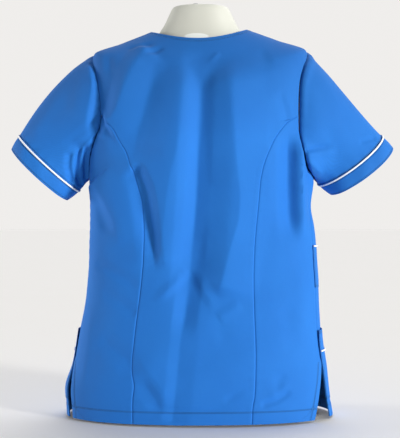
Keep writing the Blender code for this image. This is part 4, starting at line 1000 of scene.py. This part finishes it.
def pocketSurface(side, levels, acrossFrom, foot, mouth, lift, swell=0.0016):
    across = acrossFrom + (1 - acrossFrom) * np.linspace(0, 1, pocketFinish["acrossSteps"] + 1)
    turn, level = sidePanelAt(side, "front", levels, np.zeros(0), across)
    points, normals = clothPoint(turn, level)
    climb = ((levels - foot) / (mouth - foot))[:, None]
    toward = ((across - acrossFrom) / (1 - acrossFrom))[None, :]
    share = pocketFinish["liftShare"]
    out = lift * climb ** 2 * (share + (1 - share) * toward ** 2) + pocketFinish["clear"] + swell / 4
    # between its sewn edges the pocket swells a little
    out = out + swell * np.sin(np.pi * toward) * np.sin(np.pi * np.clip(climb, 0, 1)) ** 0.7
    return points + normals * out[..., None], normals


def buildPocketPiece(name, node, side, levels, acrossFrom, foot, mouth, lift, edges):
    points, normals = pocketSurface(side, levels, acrossFrom, foot, mouth, lift, 0.0 if "flat" in edges else 0.0016)
    run, up = runAlong(points, 1), runAlong(points, 0)
    sides = np.minimum(run, run[:, -1:] - run)
    stitchLines = [(sides - 0.003, up)]
    if "foot" in edges:
        stitchLines.append((up - 0.003, run))
    if "mouth" in edges:
        stitchLines.append((up[-1:] - up - 0.004, run))
    cut = np.stack((run, up), -1)
    piece = clothShell(name, points, normals, np.full(run.shape, 0.0009), cuffCloth, cut, nearestStitch(stitchLines))
    dress(piece, node)
    print(name, "width %.3f height %.3f" % (run.max(), up.max()))
    return points, normals


for side in ("left", "right"):
    foot, mouth, line = tunic["pocketFoot"], tunic["pocketMouth"], tunic["hipPiping"]
    bodyLevels = np.linspace(foot, line, pocketFinish["upSteps"] + 1)
    bandLevels = np.linspace(line, mouth, pocketFinish["upSteps"] // 2 + 1)
    name = side.capitalize()
    buildPocketPiece("pocket" + name, "pocket_" + side, side, bodyLevels, 1 / 6, foot, mouth,
                     pocketFinish["hipLift"], ("foot",))
    points, normals = buildPocketPiece("pocketBand" + name, "pocket_band_" + side, side, bandLevels, 1 / 6, foot,
                                       mouth, pocketFinish["hipLift"], ("mouth",))
    buildPiping("pocketPiping" + name, "pocket_piping_" + side,
                points[0] + normals[0] * (0.0003 + pipingSize["halfThickness"]), normals[0], False)
waistLevels = np.linspace(tunic["waistPocketFoot"], tunic["waistPiping"], pocketFinish["upSteps"] + 1)
points, normals = buildPocketPiece("waistPocket", "waist_pocket_right", "right", waistLevels, 0.5,
                                   tunic["waistPocketFoot"], tunic["waistPiping"], pocketFinish["waistLift"],
                                   ("foot", "flat"))
down = unit(points[-2] - points[-1])
buildPiping("waistPocketPiping", "waist_pocket_piping_right",
            points[-1] + down * pipingSize["halfWidth"] + normals[-1] * (0.0003 + pipingSize["halfThickness"]),
            normals[-1], False)
print("pockets made")


# the torso form

formLook = {"turns": 144, "rows": 150, "drop": 0.0042, "endGap": 0.0065, "backGap": 0.010, "frontGap": 0.012,
            "veeEnd": 0.700, "neckRound": 0.745}
formLowRings = (
    (0.000, 0.000, 0.000, 0.000, 0.2000, 0.2000, 0.082, 0.084),
    (0.004, 0.004, 0.004, 0.004, 0.2035, 0.2035, 0.085, 0.087),
    (0.110, 0.110, 0.110, 0.110, 0.2080, 0.2080, 0.088, 0.094),
    (0.230, 0.230, 0.230, 0.230, 0.1880, 0.1900, 0.078, 0.090),
    (0.310, 0.310, 0.310, 0.310, 0.1700, 0.1720, 0.070, 0.087),
    (0.400, 0.400, 0.400, 0.400, 0.1800, 0.1810, 0.076, 0.106),
    (0.455, 0.455, 0.455, 0.455, 0.1860, 0.1880, 0.082, 0.114),
    (0.520, 0.540, 0.545, 0.480, 0.1880, 0.1900, 0.086, 0.116),
    (0.570, 0.612, 0.618, 0.504, 0.1900, 0.1910, 0.084, 0.108),
    (0.612, 0.656, 0.662, 0.518, 0.1920, 0.1930, 0.078, 0.100),
)
formNeckRings = (
    (0.7050, 0.7170, 0.7215, 0.592, 0.0850, 0.0830, 0.050, 0.086),
    (0.7200, 0.7300, 0.7330, 0.642, 0.0775, 0.0770, 0.046, 0.069),
    (0.7400, 0.7450, 0.7470, 0.702, 0.0680, 0.0695, 0.044, 0.053),
    (0.7680, 0.7680, 0.7680, 0.758, 0.0570, 0.0590, 0.042, 0.044),
    (0.7765, 0.7765, 0.7765, 0.7745, 0.0520, 0.0540, 0.039, 0.039),
    (0.7790, 0.7790, 0.7790, 0.7790, 0.0450, 0.0470, 0.033, 0.033),
)


def buildForm():
    # rings of the form's own table, its shoulders set just under the cloth's
    rows = list(formLowRings)
    for level in (0.640, 0.660, 0.685):
        ring = {name: float(columnAt(bodyRings, ringColumns, name, level)) for name in ringColumns[1:]}
        rows.append((level, ring["leftZ"] - formLook["drop"], ring["rightZ"] - formLook["drop"],
                     ring["frontZ"] - formLook["drop"], ring["left"] - formLook["endGap"],
                     ring["right"] - formLook["endGap"], ring["back"] - formLook["backGap"],
                     ring["front"] - formLook["frontGap"]))
    table = tuple(rows) + formNeckRings
    knots = np.array([row[0] for row in table])
    levels = np.sort(np.unique(np.concatenate((np.linspace(0, knots[-1], formLook["rows"]), knots,
                                               np.linspace(0.760, knots[-1], 14)))))
    turn = np.arange(formLook["turns"]) * 2 * np.pi / formLook["turns"]
    vee = veeShare(levels) * np.clip((formLook["neckRound"] - levels) / (formLook["neckRound"] - formLook["veeEnd"]), 0, 1)
    rings = ringPoint(table, turn[None, :], levels[:, None], vee[:, None])
    # the flat foot and the flat top are rings drawn in to their middle
    shrink = np.linspace(0.02, 1, 10)[:, None, None]
    foot = rings[:1] * shrink
    top = rings[-1:].mean(axis=1, keepdims=True) + (rings[-1:] - rings[-1:].mean(axis=1, keepdims=True)) * shrink[::-1]
    points = np.concatenate((foot[:-1], rings, top[1:]))
    quads = gridQuads(len(points), formLook["turns"], True)[0]
    mesh = addMesh("torsoForm", points.reshape(-1, 3), quads, formPlastic,
                   {"cut": points[..., (0, 2)].reshape(-1, 2)}, sharpAngle=50.0)
    made = bmesh.new()
    made.from_mesh(mesh.data)
    for last in (0, (len(points) - 1) * formLook["turns"]):
        made.verts.ensure_lookup_table()
        bmesh.ops.contextual_create(made, geom=[made.verts[last + i] for i in range(formLook["turns"])])
    bmesh.ops.recalc_face_normals(made, faces=made.faces)
    made.to_mesh(mesh.data)
    made.free()
    return dress(mesh, "torso_form")


buildForm()
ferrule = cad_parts["form_ferrule"]
ferrule.data.materials.clear()
ferrule.data.materials.append(ferruleSteel)
print("form made")


# floor, light and camera

studio = {"floor": (0.93, 0.905, 0.875, 1), "backdrop": (0.868, 0.852, 0.835, 1), "skyLight": 0.27,
          "key": 4.1, "keyFrom": (-1.80, 1.25, 0.20), "keySoft": 10.0, "side": 2.7, "sideFrom": (2.0, -0.3, 0.20),
          "sideSoft": 22.0, "fill": 1.7, "fillFrom": (-0.4, -1.0, 1.6),
          "fillSoft": 60.0}

floorMaterial, nodes, links, shader = tree("paleFloor")
grain = add(nodes, links, "ShaderNodeTexNoise", {
    "Vector": add(nodes, links, "ShaderNodeTexCoord").outputs["Object"], "Scale": 3.0, "Detail": 3.0}).outputs[0]
tone = add(nodes, links, "ShaderNodeMix", {"Factor": grain, "A": studio["floor"], "B": (0.94, 0.915, 0.89, 1)}, data_type="RGBA")
links.new(tone.outputs["Result"], shader.inputs["Base Color"])
shader.inputs["Roughness"].default_value = 0.9
shader.inputs["Specular IOR Level"].default_value = 0.1
floorMesh = bpy.data.meshes.new("floor")
floorMesh.from_pydata([(-30, -30, 0), (30, -30, 0), (30, 30, 0), (-30, 30, 0)], [], [(0, 1, 2, 3)])
floorMesh.materials.append(floorMaterial)
floor = bpy.data.objects.new("floor", floorMesh)
bpy.context.collection.objects.link(floor)

world = bpy.data.worlds.new("studio")
world.use_nodes = True
bpy.context.scene.world = world
nodes, links = world.node_tree.nodes, world.node_tree.links
seen = nodes["Background"]
seen.inputs["Color"].default_value = studio["backdrop"]
lit = add(nodes, links, "ShaderNodeBackground", {"Color": (0.97, 0.99, 1.0, 1), "Strength": studio["skyLight"]})
both = add(nodes, links, "ShaderNodeMixShader", {
    0: add(nodes, links, "ShaderNodeLightPath").outputs["Is Camera Ray"], 1: lit.outputs[0], 2: seen.outputs[0]})
links.new(both.outputs[0], nodes["World Output"].inputs["Surface"])


def addSun(name, strength, source, soft, colour):
    light = bpy.data.lights.new(name, "SUN")
    light.energy = strength
    light.angle = math.radians(soft)
    light.color = colour
    lamp = bpy.data.objects.new(name, light)
    lamp.rotation_euler = Vector(source).to_track_quat("Z", "Y").to_euler()
    bpy.context.collection.objects.link(lamp)


addSun("key", studio["key"], studio["keyFrom"], studio["keySoft"], (1.0, 0.99, 0.965))
addSun("side", studio["side"], studio["sideFrom"], studio["sideSoft"], (1.0, 0.99, 0.97))
addSun("fill", studio["fill"], studio["fillFrom"], studio["fillSoft"], (0.97, 0.98, 1.0))

view = {"place": (0, 1.705, 0.374), "lens": 73.06}
cameraData = bpy.data.cameras.new("camera")
cameraData.lens = view["lens"]
cameraData.sensor_width = 36.0
camera = bpy.data.objects.new("camera", cameraData)
camera.location = view["place"]
camera.rotation_euler = (math.radians(90), 0, math.radians(180))
bpy.context.collection.objects.link(camera)
bpy.context.scene.camera = camera
bpy.context.scene.view_settings.view_transform = "Standard"
print("studio made")
